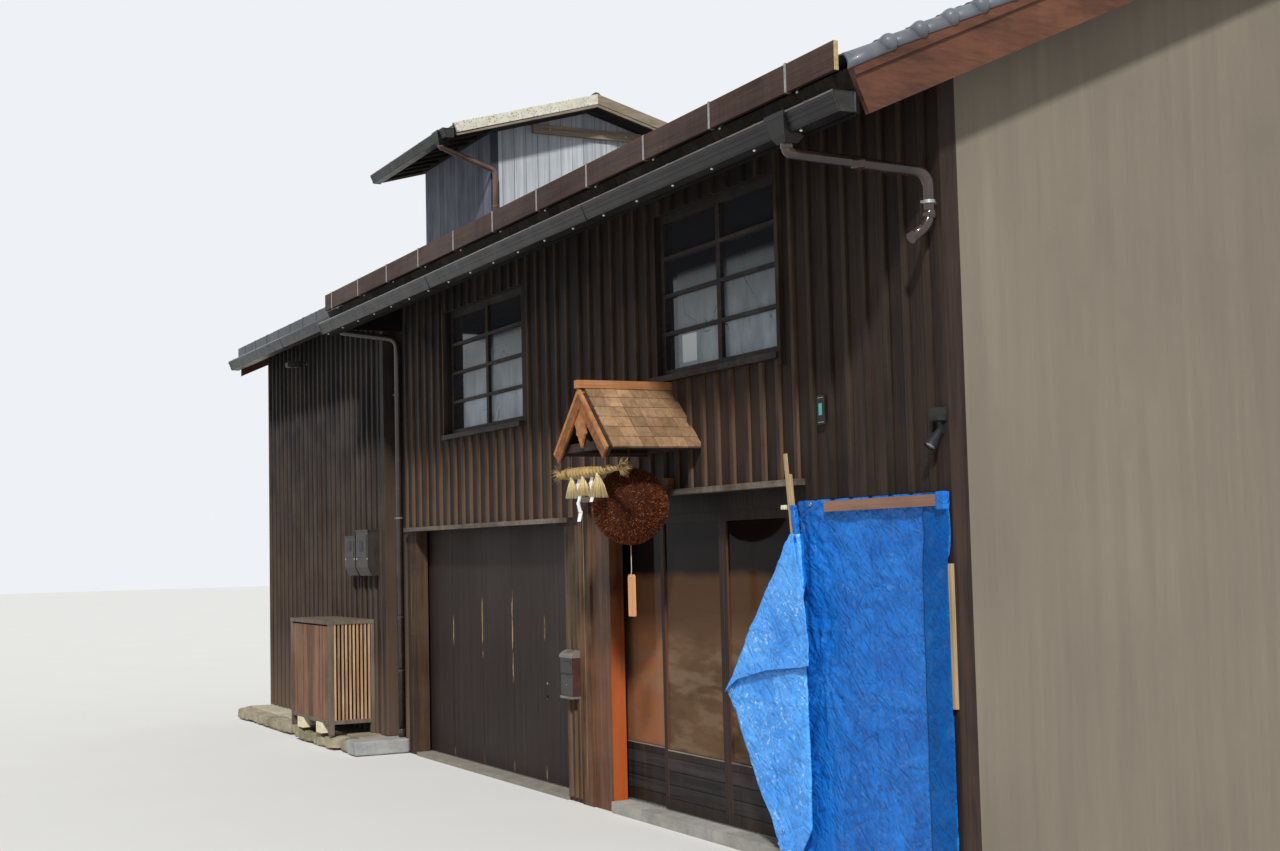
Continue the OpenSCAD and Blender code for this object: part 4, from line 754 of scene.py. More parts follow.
def endTree(tree, out, instances, given):
    tone = place(tree, "FunctionNodeRandomValue", {"Seed": given["Seed"], 2: 0.0, 3: 1.0},
        data_type="FLOAT")
    kept = place(tree, "GeometryNodeStoreNamedAttribute", {"Geometry": instances, "Name": "tone",
        "Value": tone.outputs[1]}, data_type="FLOAT", domain="INSTANCE")
    real = place(tree, "GeometryNodeRealizeInstances", {0: kept.outputs[0]})
    done = place(tree, "GeometryNodeSetMaterial", {"Geometry": real.outputs[0],
        "Material": given["Finish"]})
    tree.links.new(done.outputs[0], out["Geometry"])


def randomVector(tree, spread, seed, centre=0.0):
    raw = place(tree, "FunctionNodeRandomValue", {0: (-1.0,) * 3, 1: (1.0,) * 3, "Seed": seed},
        data_type="FLOAT_VECTOR").outputs[0]
    return shifted(tree, stretched(tree, raw, spread), (centre,) * 3)


def seedAfter(tree, seed, step):
    return place(tree, "FunctionNodeIntegerMath", {0: seed, 1: step}, operation="ADD").outputs[0]


def instancePart(tree, points, given, turn=None):
    part = place(tree, "GeometryNodeObjectInfo", {"Object": given["Part"]}).outputs["Geometry"]
    wander = randomVector(tree, given["Size wander"], seedAfter(tree, given["Seed"], 1), 1.0)
    if turn is None:
        swing = randomVector(tree, given["Turn wander"], seedAfter(tree, given["Seed"], 2))
        angle = shifted(tree, given["Turn"], swing)
        turn = place(tree, "FunctionNodeEulerToRotation", {0: angle}).outputs[0]
    return place(tree, "GeometryNodeInstanceOnPoints", {
        "Points": points, "Instance": part, "Rotation": turn,
        "Scale": stretched(tree, given["Size"], wander)}).outputs[0]


def lineOf(tree, sockets):
    return place(tree, "GeometryNodeMeshLine", sockets, mode="OFFSET", count_mode="TOTAL").outputs[0]


def placed(tree, points, given, out):
    # Moves each point a little and sets a part on it
    moved = place(tree, "GeometryNodeSetPosition", {
        "Geometry": points, "Offset": randomVector(tree, given["Wander"], given["Seed"])}).outputs[0]
    endTree(tree, out, instancePart(tree, moved, given), given)


commonInputs = [("Part", "NodeSocketObject", None), ("Size", vector3, (1, 1, 1)),
    ("Turn", vector3, (0, 0, 0)), ("Wander", vector3, (0, 0, 0)), ("Size wander", vector3, (0, 0, 0)),
    ("Turn wander", vector3, (0, 0, 0)), ("Seed", "NodeSocketInt", 1), ("Finish", "NodeSocketMaterial",
    None)]


def makeRowTree():
    tree, given, out = newGroup("partRow", "GeometryNodeTree", commonInputs + [
        ("Count", "NodeSocketInt", 10), ("Start", vector3, (0, 0, 0)), ("Step", vector3, (1, 0, 0))],
        [("Geometry", "NodeSocketGeometry")])
    row = lineOf(tree, {"Count": given["Count"], "Start Location": given["Start"], "Offset": given["Step"]})
    placed(tree, row, given, out)
    return tree


def makeFieldTree():
    tree, given, out = newGroup("partField", "GeometryNodeTree", commonInputs + [
        ("Columns", "NodeSocketInt", 10), ("Rows", "NodeSocketInt", 10), ("Start", vector3, (0, 0, 0)),
        ("Across", vector3, (1, 0, 0)), ("Up", vector3, (0, 1, 0))], [("Geometry", "NodeSocketGeometry")])
    row = lineOf(tree, {"Count": given["Columns"], "Start Location": given["Start"],
        "Offset": given["Across"]})
    column = lineOf(tree, {"Count": given["Rows"], "Offset": given["Up"]})
    crossed = place(tree, "GeometryNodeInstanceOnPoints", {"Points": row, "Instance": column})
    spots = place(tree, "GeometryNodeRealizeInstances", {0: crossed.outputs[0]})
    placed(tree, spots.outputs[0], given, out)
    return tree


def makeScatterTree():
    tree, given, out = newGroup("partScatter", "GeometryNodeTree", commonInputs + [
        ("Surface", "NodeSocketObject", None), ("Density", number, 100.0)],
        [("Geometry", "NodeSocketGeometry")])
    ground = place(tree, "GeometryNodeObjectInfo", {"Object": given["Surface"]}).outputs["Geometry"]
    spots = place(tree, "GeometryNodeDistributePointsOnFaces", {"Mesh": ground, "Density": given["Density"],
        "Seed": given["Seed"]})
    angle = randomVector(tree, given["Turn wander"], seedAfter(tree, given["Seed"], 2))
    swing = place(tree, "FunctionNodeEulerToRotation", {0: angle}).outputs[0]
    turn = place(tree, "FunctionNodeRotateRotation", {0: spots.outputs["Rotation"], 1: swing},
        rotation_space="LOCAL").outputs[0]
    endTree(tree, out, instancePart(tree, spots.outputs[0], given, turn), given)
    return tree


rowTree, fieldTree, scatterTree = makeRowTree(), makeFieldTree(), makeScatterTree()
templates = []


def template(name, bm, *keys):
    # A small part that the trees repeat; it is removed at the end
    part = added(name, meshFrom(name, bm, *keys))
    part.hide_render = True
    templates.append(part)
    return part


def grown(tree, **values):
    # Runs a tree and returns its result as a plain mesh
    holder = added("holder", bpy.data.meshes.new("holder"))
    nodesMod = holder.modifiers.new("grow", "NODES")
    nodesMod.node_group = tree
    keys = {item.name: item.identifier for item in tree.interface.items_tree if item.in_out == "INPUT"}
    for label, value in values.items():
        nodesMod[keys[label.replace("_", " ")]] = value
    holder.update_tag()
    graph = bpy.context.evaluated_depsgraph_get()
    mesh = bpy.data.meshes.new_from_object(holder.evaluated_get(graph), preserve_all_data_layers=True,
        depsgraph=graph)
    bpy.data.objects.remove(holder)
    return mesh


def joined(meshes):
    # Several results of the trees as one mesh, with their tones
    parts = [added("part", mesh) for mesh in meshes]
    with bpy.context.temp_override(active_object=parts[0], object=parts[0], selected_objects=parts,
            selected_editable_objects=parts):
        bpy.ops.object.join()
    mesh = parts[0].data
    bpy.data.objects.remove(parts[0])
    return mesh


def unitBar():
    # A bar one metre each way, centred in X and Y, with its foot at Z = 0 and small chamfers
    bm = bmesh.new()
    far, near = 0.5, 0.38
    prismInto(bm, [(near, -far), (far, -near), (far, near), (near, far), (-near, far), (-far, near),
        (-far, -near), (-near, -far)], "z", 0.0, 1.0)
    return template("barPart", bm)


def bareBar():
    bm = bmesh.new()
    boxInto(bm, (-0.5, -0.5, 0.0), (0.5, 0.5, 1.0))
    return template("boxPart", bm)


barPart, boxPart = unitBar(), bareBar()


def bars(finishKey, start, step, count, size, part=None, seed=1, wander=(0, 0, 0), sizeWander=(0, 0, 0),
        turn=(0, 0, 0), turnWander=(0, 0, 0)):
    return grown(rowTree, Part=part or barPart, Count=count, Start=start, Step=step, Size=size,
        Wander=wander, Size_wander=sizeWander, Turn=turn, Turn_wander=turnWander, Seed=seed,
        Finish=finishes[finishKey])


def deckTop(y):
    return house.eaveTop + house.slope * (min(y, house.back - y) + house.eaveOut)


# Walls: the CAD walls keep their shape and take boards, and battens cover the joints

for node, key in (("ground_floor", "groundConcrete"), ("upper_floor", "floorBoards"),
        ("stone_sill", "sillStone"), ("left_party_wall", "partyPlaster"),
        ("right_party_wall", "partyPlaster"), ("back_wall", "backBoards"),
        ("front_wall_left", "leftBoards"), ("front_wall_over_garage", "frontBoards"),
        ("front_wall_over_shop", "shopBoards"), ("garage_side_wall", "frontBoards"),
        ("centre_pier", "lowBoards"), ("right_pier", "shopBoards"), ("shop_door_frame", "darkTimber"),
        ("door_rails", "steel"), ("window_frames", "windowWood"), ("barge_boards", "gableBoard"),
        ("eave_boards", "eaveWood"), ("raised_long_walls", "raisedFrontShaded"),
        ("raised_gable_walls", "raisedGableSunlit"), ("canopy_frame", "canopyInShade"),
        ("drip_boards", "driftWood")):
    dress(node, key)
for index in range(1, 5):
    dress("glass_door_%d" % index, "darkTimber")
    dress("door_glass_%d" % index, "shopGlass")

battenRow = named({
    "roomAbove": 0.012,  # below the roof deck
    # name, finish, first batten, pitch, count, foot, wall face, width and depth, way out, seed, window gaps
    "rows": [
        ("left_battens", "leftBattens", -5.924, 0.1574, 25, 0.13, -0.1, (0.04, 0.026), -1, 11, False),
        ("garage_battens", "battens", -1.704, 0.1705, 21, 1.929, 0.0, (0.038, 0.022), -1, 23, True),
        ("shop_battens", "battens", 1.9186, 0.1708, 17, 2.054, 0.0, (0.038, 0.022), -1, 37, True),
        ("right_battens", "shadedRightBattens", 4.8222, 0.1708, 7, 1.938, 0.0, (0.038, 0.022), -1, 43, False),
        ("back_battens", "leftBattens", -5.92, 0.1708, 70, 0.02, 5.7, (0.038, 0.022), 1, 51, True)],
    # windows that the battens stop at: left, right, bottom, top
    "windows": [(-0.73, 0.91, 2.622, 3.672), (3.01, 4.52, 2.717, 3.767)],
})


def battensOn(piece, finishKey, start, pitch, count, low, face, size, out, seed, gaps):
    top = deckTop(face) - house.deck - battenRow.roomAbove
    y = face + out * (size[1] / 2 - 0.002)
    runs = []
    for k in range(count):
        x = start + k * pitch
        gap = next((w for w in battenRow.windows if gaps and w[0] < x < w[1]), None)
        for z0, z1 in ([(low, gap[2]), (gap[3], top)] if gap else [(low, top)]):
            if z1 - z0 > 0.05:
                runs.append((x, z0, z1))
    meshes = []
    for index, (z0, z1) in enumerate(sorted(set((z0, z1) for _, z0, z1 in runs))):
        xs = [x for x, a, b in runs if (a, b) == (z0, z1)]
        groups = [[xs[0]]]
        for x in xs[1:]:
            if x - groups[-1][-1] < pitch * 1.5:
                groups[-1].append(x)
            else:
                groups.append([x])
        for part, group in enumerate(groups):
            meshes.append(bars(finishKey, (group[0], y, z0), (pitch, 0, 0), len(group),
                (size[0], size[1], z1 - z0), seed=seed + 10 * index + part, wander=(0.003, 0.0, 0.0),
                sizeWander=(0.06, 0.0, 0.0), turnWander=(0, 0.0008, 0)))
    setPiece(piece, joined(meshes), "dark_boards")


for row in battenRow.rows:
    battensOn(*row)
print("wall battens made")


# Roof tiles

tileField = named({
    "pitch": 0.27244, "row": 0.1755, "rows": 20, "columns": 45,
    "split": 16, "filler": 0.55,  # columns left of the step in the eave, and the share of a tile beside it
    "shortStart": -0.378, "shortColumns": 15, "shortStretch": 1.03,
    "crest": 0.044, "thick": 0.015, "overlap": 0.05, "step": 0.02, "bed": 0.012,
    "profile": [(0.0, 0.62), (0.09, 0.34), (0.2, 0.12), (0.34, 0.0), (0.48, 0.03), (0.6, 0.2), (0.7, 0.5),
        (0.79, 0.84), (0.88, 1.0), (0.96, 0.9), (1.03, 0.58)],
})


def tileMesh(name, run):
    # One pantile, with its lower edge at the origin and its length running up the slope in +Y
    t = tileField
    bm = bmesh.new()
    rings = []
    for y, lift in ((0.0, t.step), (run, 0.0)):
        top = [(u * t.pitch, y, w * t.crest + lift + house.slope * y) for u, w in t.profile]
        rings.append(top + [(u, y, w - t.thick) for u, y, w in top[::-1]])
    loftInto(bm, rings, strip=True)
    return template(name, bm)


def tiles(part, start, columns, rows, size=(1, 1, 1), back=False, seed=5):
    t = tileField
    way = -1 if back else 1
    return grown(fieldTree, Part=part, Columns=columns, Rows=rows, Start=start, Size=size, Seed=seed,
        Across=(way * t.pitch, 0.0, 0.0), Up=(0.0, way * t.row, t.row * house.slope),
        Turn=(0, 0, math.pi if back else 0), Wander=(0.0012, 0.0015, 0.0015), Turn_wander=(0.006, 0.006,
        0.004), Finish=finishes["roofTile"])


def roofSlope(name, node, back):
    t = tileField
    left, right, step, edge = house.roofLeft, house.roofRight, house.stepX, -house.eaveOut
    cut = house.deck * house.slope / (1 + house.slope ** 2)
    bm = bmesh.new()
    for x0, x1, y in [(left, right, edge)] if back else [(step, right, edge),
            (left, step, -house.leftEaveOut)]:
        outline = [(y, deckTop(y)), (y + cut, deckTop(y) - house.deck + cut * house.slope),
            (house.ridge, deckTop(house.ridge) - house.deck), (house.ridge, deckTop(house.ridge))]
        prismInto(bm, [(house.back - a if back else a, z) for a, z in outline], "x", x0, x1)
    meshes = [meshFrom("deck", bm, "deckWood")]
    whole = tileMesh("tilePart", t.row + t.overlap)
    if back:
        start = (right, house.back + house.eaveOut, deckTop(edge) + t.bed)
        meshes.append(tiles(whole, start, t.columns, t.rows, back=True, seed=8))
    else:
        upper = edge + 2 * t.row
        short = tileMesh("shortTile", upper - t.shortStart + t.overlap)
        for part, x, y, columns, rows, size in (
                (whole, left, upper, t.columns, t.rows - 2, 1.0),
                (whole, left + t.split * t.pitch, edge, t.columns - t.split, 2, 1.0),
                (whole, step, edge, 1, 2, t.filler),
                (short, left, t.shortStart, t.shortColumns, 1, t.shortStretch)):
            meshes.append(tiles(part, (x, y, deckTop(y) + t.bed), columns, rows, size=(size, 1, 1),
                seed=9 + len(meshes)))
    setPiece(name, joined(meshes), "roof_tile", replaced=node)


roofSlope("front_tiles", "roof_front", False)
roofSlope("back_tiles", "roof_back", True)
print("roof tiles laid")

ridgeCourse = named({"courses": 3, "width": 0.26, "narrow": 0.012, "tile": 0.3, "capLength": 0.26,
    "capRadius": 0.072})


def makeRidge():
    r = ridgeCourse
    low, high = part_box("roof_ridge")
    base = deckTop(house.ridge) + 0.02
    top = high.z - r.capRadius
    step = (top - base) / r.courses
    slate = bmesh.new()
    boxInto(slate, (0.0, -0.5, 0.0), (1.0, 0.5, 1.0))
    slatePart = template("slatePart", slate)
    meshes = []
    count = int((high.x - low.x) / r.tile)
    length = (high.x - low.x) / count
    for k in range(r.courses):
        shift = 0.5 * length if k % 2 else 0.0
        half = r.width / 2 - k * r.narrow
        meshes.append(bars("roofTile", (low.x + shift, house.ridge, base + k * step), (length, 0, 0),
            count - (1 if k % 2 else 0), (length - 0.003, 2 * half, step - 0.004), part=slatePart,
            seed=60 + k, wander=(0, 0.002, 0.001)))
    cap = bmesh.new()
    turnInto(cap, [(0.0, 0.0), (1.0, 0.0), (1.0, 0.84), (1.13, 0.86), (1.13, 1.0), (0.0, 1.0)], (0, 0, 0),
        (1, 0, 0), sides=14)
    capPart = template("capPart", cap)
    caps = int((high.x - low.x) / r.capLength)
    length = (high.x - low.x) / caps
    meshes.append(bars("roofTile", (low.x, house.ridge, top - 0.01), (length, 0, 0), caps,
        (length, r.capRadius, r.capRadius), part=capPart, seed=70))
    filler = bmesh.new()
    boxInto(filler, (low.x, house.ridge - 0.1, base), (high.x - 0.02, house.ridge + 0.1, top - 0.005))
    meshes.append(meshFrom("inner", filler, "mortar"))
    setPiece("ridge_tiles", joined(meshes), "roof_tile", replaced="roof_ridge")


def makeRidgeEnd():
    # A plain end tile closes the ridge over the gable: a shield with a rim and a round boss
    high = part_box("roof_ridge")[1]
    mid, base, top = house.ridge, deckTop(house.ridge) - 0.01, high.z + 0.035
    arc = [(0.125 * math.cos(t), top - 0.125 + 0.125 * math.sin(t)) for t in [math.pi * k / 12
        for k in range(13)]]
    outline = [(0.165, base - 0.05), (0.15, base + 0.02)] + arc + [(-0.15, base + 0.02),
        (-0.165, base - 0.05)]
    inner = [(a * 0.84, base + (b - base) * 0.88 + 0.004) for a, b in outline]
    bm = bmesh.new()
    loftInto(bm, [[(x, mid + a, b) for a, b in ring] for x, ring in (
        (high.x - 0.004, outline), (high.x + 0.02, outline),
        (high.x + 0.026, [(a * 0.97, b - 0.004) for a, b in outline]),
        (high.x + 0.024, inner), (high.x + 0.014, [(a * 0.97, b) for a, b in inner]))])
    turnInto(bm, [(0.0, 0.028), (0.03, 0.026), (0.046, 0.018), (0.052, 0.008), (0.052, -0.01)],
        (high.x + 0.012, mid, top - 0.125), (1, 0, 0), sides=28)
    finishPiece("ridge_end_tile", bm, ["vergeTile"], "roof_tile", bevel=0.002)


makeRidge()
makeRidgeEnd()
print("ridge made")


# Gutters: moulded troughs with a lip, straps across, joint collars, framed end caps and outlet boxes

gutterRun = named({
    "high": 0.09, "deep": 0.115, "metal": 0.004, "strapPitch": 0.455, "collarPitch": 2.7, "capOut": 0.003,
    # distance in from the street edge and down from the top, round the moulded front
    "front": [(0.0, 0.0), (0.0, 0.02), (0.005, 0.024), (0.005, 0.03), (0.011, 0.034), (0.015, 0.052),
        (0.02, 0.055), (0.027, 0.08), (0.038, 0.09)],
    "runs": [  # left end, right end, eave-side edge, top, and the side it opens to: 1 for the street
        (-1.85, 6.2, -0.739, 3.7, 1), (-6.06, -1.89, -0.525, 3.838, 1), (-6.06, 6.2, 6.439, 3.7, -1),
        (-6.062, -3.693, 1.105, 6.024, 1), (-6.062, -3.693, 4.595, 6.024, -1)],
    "outlets": [(5.715, 0), (-2.08, 1), (-3.905, 3)],
})


def gutterOutline(grow=0.0):
    g = gutterRun
    shape = [(a - grow, b + (grow if b > 0.06 else 0.0)) for a, b in g.front]
    return shape + [(g.deep + grow, g.high + grow), (g.deep + grow, 0.0)]


def gutterInto(bm, run):
    g = gutterRun
    x0, x1, edge, z, out = run

    def across(a, b):
        return (edge + out * a, z - b)

    outer = gutterOutline()
    t = g.metal
    inner = [(min(max(a + t, t), g.deep - t), min(b, g.high - t)) for a, b in outer]
    outline = [across(a, b) for a, b in outer + inner[::-1]]
    loftInto(bm, [[(x, *spot) for spot in outline] for x in (x0, x1)], strip=True)
    # beads along both lips, in a pale finish that is partly painted highlight
    for a in (0.0, g.deep):
        sweepInto(bm, [(x0, edge + out * a, z - 0.002), (x1, edge + out * a, z - 0.002)], 0.005, sides=8,
            mat=1)
    collars = max(1, round((x1 - x0) / g.collarPitch))
    for k in range(1, collars):
        x = x0 + k * (x1 - x0) / collars
        prismInto(bm, [across(a, b) for a, b in gutterOutline(0.0025)], "x", x - 0.035, x + 0.035)
    straps = round((x1 - x0) / g.strapPitch)
    for k in range(straps):
        x = x0 + (k + 0.5) * (x1 - x0) / straps
        ends = sorted((edge - out * 0.006, edge + out * g.deep))
        boxInto(bm, (x - 0.009, ends[0], z - 0.001), (x + 0.009, ends[1], z + 0.003), 1)
    for x, side in ((x0, -1), (x1, 1)):
        cap = [across(a, b) for a, b in gutterOutline(g.capOut)]
        prismInto(bm, cap, "x", x - 0.004, x + 0.004, 2)
        bm.faces.ensure_lookup_table()
        near = [f for f in bm.faces[-len(cap) - 2:] if abs(f.normal.x) > 0.9 and f.normal.x * side > 0]
        bmesh.ops.inset_region(bm, faces=near, thickness=0.01, depth=-0.004)


def outletInto(bm, x, run):
    # A flared box round the trough that leads into the pipe's socket
    g = gutterRun
    _, _, edge, z, out = run
    rings = []
    for down, half, front, back in ((-0.006, 0.088, -0.012, g.deep + 0.004),
            (0.016, 0.088, -0.012, g.deep + 0.004), (0.02, 0.08, -0.008, g.deep + 0.002),
            (0.102, 0.058, 0.01, g.deep), (0.112, 0.052, 0.016, g.deep - 0.006),
            (0.132, 0.036, 0.026, 0.094)):
        ring = [(x - half, front), (x + half, front), (x + half, back), (x - half, back)]
        rings.append([(a, edge + out * b, z - down) for a, b in ring])
    loftInto(bm, rings)


def makeGutters():
    g = gutterRun
    bm = bmesh.new()
    for run in g.runs:
        gutterInto(bm, run)
    for x, index in g.outlets:
        outletInto(bm, x, g.runs[index])
    finishPiece("gutter_troughs", bm, ["gutterMetal", "lipHighlightAndPaleMetal", "gutterCap"], "black_metal",
        replaced="gutters")


pipeRun = named({
    "radius": 0.028, "sleeve": 0.0045, "sides": 20,
    "street": [(5.715, -0.6815, 3.58), (5.715, -0.6815, 3.53), (5.93, -0.04, 3.44), (5.93, -0.04, 3.2),
        (5.93, -0.15, 3.12)],
    "left": [(-2.08, -0.4675, 3.72), (-2.08, -0.4675, 3.668), (-1.85, -0.034, 3.59), (-1.85, -0.034, 0.13)],
    "raised": [(-3.905, 1.1625, 5.9), (-3.905, 1.1625, 5.874), (-3.905, 1.758, 5.674),
        (-3.905, 1.758, 4.975)],
    "clampsLeft": (3.1, 1.16, 0.7), "whiteClamp": 2.02,
})


def pipeInto(bm, path, sleeves, mat, bend):
    p = pipeRun
    sweepInto(bm, rounded(path, bend, 8), p.radius, sides=p.sides, mat=mat)
    for a, b in sleeves:
        a, b = Vector(a), Vector(b)
        lip = (b - a).normalized() * 0.004
        big, small = p.radius + p.sleeve, p.radius + 0.001
        sweepInto(bm, [a, a + lip, b - lip, b], [small, big, big, small], sides=p.sides, mat=mat)


def clampInto(bm, centre, wallY, mat):
    # A band round an upright pipe with a stay to the wall
    x, y, z = centre
    p = pipeRun
    turnInto(bm, [(p.radius + 0.0005, -0.008), (p.radius + 0.004, -0.008), (p.radius + 0.004, 0.008),
        (p.radius + 0.0005, 0.008)], centre, (0, 0, 1), sides=20, mat=mat, smooth=False)
    boxInto(bm, (x - 0.003, y + p.radius, z - 0.008), (x + 0.003, wallY, z + 0.008), mat)
    boxInto(bm, (x - 0.014, y - p.radius - 0.01, z - 0.006), (x - 0.004, y - p.radius + 0.002, z + 0.006),
        mat)


def makePipes():
    p = pipeRun
    bm = bmesh.new()
    street, left, raised = (list(map(Vector, path)) for path in (p.street, p.left, p.raised))
    half = street[1].lerp(street[2], 0.5)
    along = (street[2] - street[1]).normalized() * 0.03
    pipeInto(bm, street, [(street[0], street[0] + Vector((0, 0, -0.035))), (half - along, half + along),
        (street[3] + Vector((0, 0, 0.06)), street[3] + Vector((0, 0, 0.02)))], 0, 0.07)
    pipeInto(bm, left, [(left[0], left[0] + Vector((0, 0, -0.04))), (left[3] + Vector((0, 0, 0.07)),
        left[3])], 0, 0.08)
    pipeInto(bm, raised, [(raised[0], raised[0] + Vector((0, 0, -0.035)))], 1, 0.05)
    clampInto(bm, (street[2].x, street[2].y, 3.3), 0.0, 2)
    for z in p.clampsLeft:
        clampInto(bm, (left[2].x, left[2].y, z), 0.0, 0)
    clampInto(bm, (left[2].x, left[2].y, p.whiteClamp), 0.0, 3)
    clampInto(bm, (raised[2].x, raised[2].y, 5.3), 1.8, 1)
    finishPiece("downpipe_runs", bm, ["pipeDark", "pipeBrown", "steel", "lipHighlightAndPaleMetal"], "brown_metal",
        replaced="downpipes")


makeGutters()
makePipes()
print("gutters and pipes made")


# Snow board: long boards held by straps, each with a white bolt beside its foot

snowBoard = named({
    "front": -0.727, "back": -0.702, "low": 3.79, "high": 3.925,
    "firstStrap": -1.49, "strapPitch": 0.728, "straps": 11, "strapWidth": 0.017, "strapThick": 0.0025,
    "joints": [-1.69, 0.33, 3.24, 6.2], "jointGap": 0.004,
    "dotStart": -1.776, "dotPitch": 0.4225, "dots": 19,
})


def makeSnowBoard():
    s = snowBoard
    bm = bmesh.new()
    for a, b in zip(s.joints, s.joints[1:]):
        boxInto(bm, (a + s.jointGap / 2, s.front, s.low), (b - s.jointGap / 2, s.back, s.high))
    for face in bm.faces:
        if face.calc_center_median().x > 6.19:
            face.material_index = 1
    finishPiece("snow_boards", bm, ["snowWood", "endGrain"], "brown_board", replaced="snow_board",
        bevel=0.0025)
    straps = bmesh.new()
    w, t = s.strapWidth / 2, s.strapThick
    for k in range(s.straps):
        x = s.firstStrap + k * s.strapPitch
        boxInto(straps, (x - w, s.front - t, s.low - t), (x + w, s.front, s.high + t))
        boxInto(straps, (x - w, s.front - t, s.high), (x + w, s.back + t, s.high + t))
        boxInto(straps, (x - w, s.back, s.low - t), (x + w, s.back + t, s.high))
        boxInto(straps, (x - w, s.front - t, s.low - t), (x + w, s.back + t, s.low))
        boxInto(straps, (x - w, s.back, s.low + 0.02), (x + w, -0.655, s.low + 0.028))
        turnInto(straps, [(0.0, 0.0), (0.006, 0.0), (0.007, -0.004), (0.004, -0.009), (0.0, -0.01)],
            (x + 0.028, s.back + 0.02, s.low + 0.004), (0, 0, 1), sides=10, mat=1)
    for k in range(s.dots):
        x = s.dotStart + k * s.dotPitch
        turnInto(straps, [(0.0, 0.004), (0.007, 0.004), (0.008, -0.001), (0.005, -0.006), (0.0, -0.007)],
            (x, -0.674, 3.61), (0, 0, 1), sides=10, mat=1)
    finishPiece("snow_board_straps", straps, ["strapMetal", "whiteCap"], "steel")


makeSnowBoard()
print("snow board made")


# Gable edge: glazed verge tiles with a round knob at each joint, on both slopes

vergeTile = named({
    "first": -0.458, "pitch": 0.1755, "count": 19, "knob": 0.042, "inner": 6.1, "outer": 6.25,
    "crest": 0.066, "foot": -0.004, "thick": 0.01, "tail": 0.035,
})


def vergeInto(bm, y0, y1, drop, flip):
    # One verge tile: its cross-section runs from the last roll over the gable board's edge
    v = vergeTile
    section = [(v.inner, 0.04), (v.inner + 0.03, v.crest - 0.006), (v.inner + 0.07, v.crest),
        (v.outer - 0.035, v.crest - 0.004), (v.outer - 0.012, v.crest - 0.018),
        (v.outer - 0.001, v.crest - 0.038), (v.outer, v.foot)]
    rings = []
    for y, lift in ((y0, v.thick), (y1, 0.0)):
        inner = [(x - v.thick * (k / 6), w + lift - v.thick * (1 - k / 8))
            for k, (x, w) in enumerate(section)]
        at = house.back - y if flip else y
        rings.append([(x, at, deckTop(y) + w - (drop if x > v.outer - 0.02 and y == y0 else 0.0))
            for x, w in [(x, w + lift) for x, w in section] + inner[::-1]])
    loftInto(bm, rings, smooth=True, strip=True)


def makeVerge():
    v = vergeTile
    bm = bmesh.new()
    for flip in (False, True):
        vergeInto(bm, -0.685, v.first + v.tail, 0.012, flip)
        for k in range(v.count):
            y = v.first + k * v.pitch
            end = min(y + v.pitch + v.tail, house.ridge - 0.01)
            if end - y < 0.05:
                continue
            vergeInto(bm, y, end, 0.0, flip)
            at = house.back - y if flip else y
            centre = (v.outer - 0.006, at, deckTop(y) + 0.038)
            r = v.knob
            turnInto(bm, [(0.0, 0.028), (r * 0.35, 0.026), (r * 0.7, 0.018), (r * 0.94, 0.006), (r, -0.006),
                (r, -0.03), (0.0, -0.03)], centre, (1, -0.12 if not flip else 0.12, 0.1), sides=20, mat=0)
    finishPiece("verge_tiles", bm, ["vergeTile"], "roof_tile")


makeVerge()
print("verge tiles laid")


# Canopy over the shop: shingle courses and the ridge batten

canopy = named({"x": 3.215, "half": 0.375, "out": 0.59, "ridge": 2.67, "drop": 0.375, "thick": 0.034,
    "courses": 6, "columns": 6, "batten": 0.024, "battenOut": 0.642, "battenLow": 2.664,
    "battenTop": 2.712})


def makeCanopy():
    c = canopy
    bm = bmesh.new()
    for side in (-1, 1):
        low = c.ridge - c.drop
        prismInto(bm, [(c.x, c.ridge - 0.008), (c.x + side * c.half, low - 0.008),
            (c.x + side * (c.half - 0.017), low - c.thick + 0.017), (c.x, c.ridge - c.thick)], "y", -c.out,
            0.0)
    meshes = [meshFrom("canopyDeck", bm, "canopyInShade")]
    exposure = math.hypot(c.half, c.drop) / c.courses
    width = c.out / c.columns
    tilt = math.atan2(c.drop, c.half)
    for side in (-1, 1):
        for k in range(c.courses):
            along = (k + 0.5) * exposure
            start = (c.x + side * along * math.cos(tilt), -c.out + width / 2,
                c.ridge - along * math.sin(tilt) - 0.006)
            meshes.append(bars("shingleWood", start, (0, width, 0), c.columns,
                (exposure * 1.12, width - 0.0025, 0.012), part=boxPart, seed=80 + k + 10 * side,
                turn=(0, side * (tilt - 0.045), 0), wander=(0.0008, 0.0, 0.0008)))
    batten = bmesh.new()
    x0, x1 = c.x - c.batten, c.x + c.batten
    prismInto(batten, [(x0, c.battenLow), (x1, c.battenLow), (x1, c.battenTop), (x0, c.battenTop)], "y",
        -c.battenOut, 0.0)
    meshes.append(meshFrom("batten", batten, "ridgeBatten"))
    setPiece("canopy_shingles", joined(meshes), "shingle", replaced="canopy_roof")


makeCanopy()
print("canopy made")


# Cedar ball: a core with thousands of clipped sprigs

cedarBall = named({"centre": (3.215, -0.299, 1.96), "core": 0.217, "density": 25000.0})


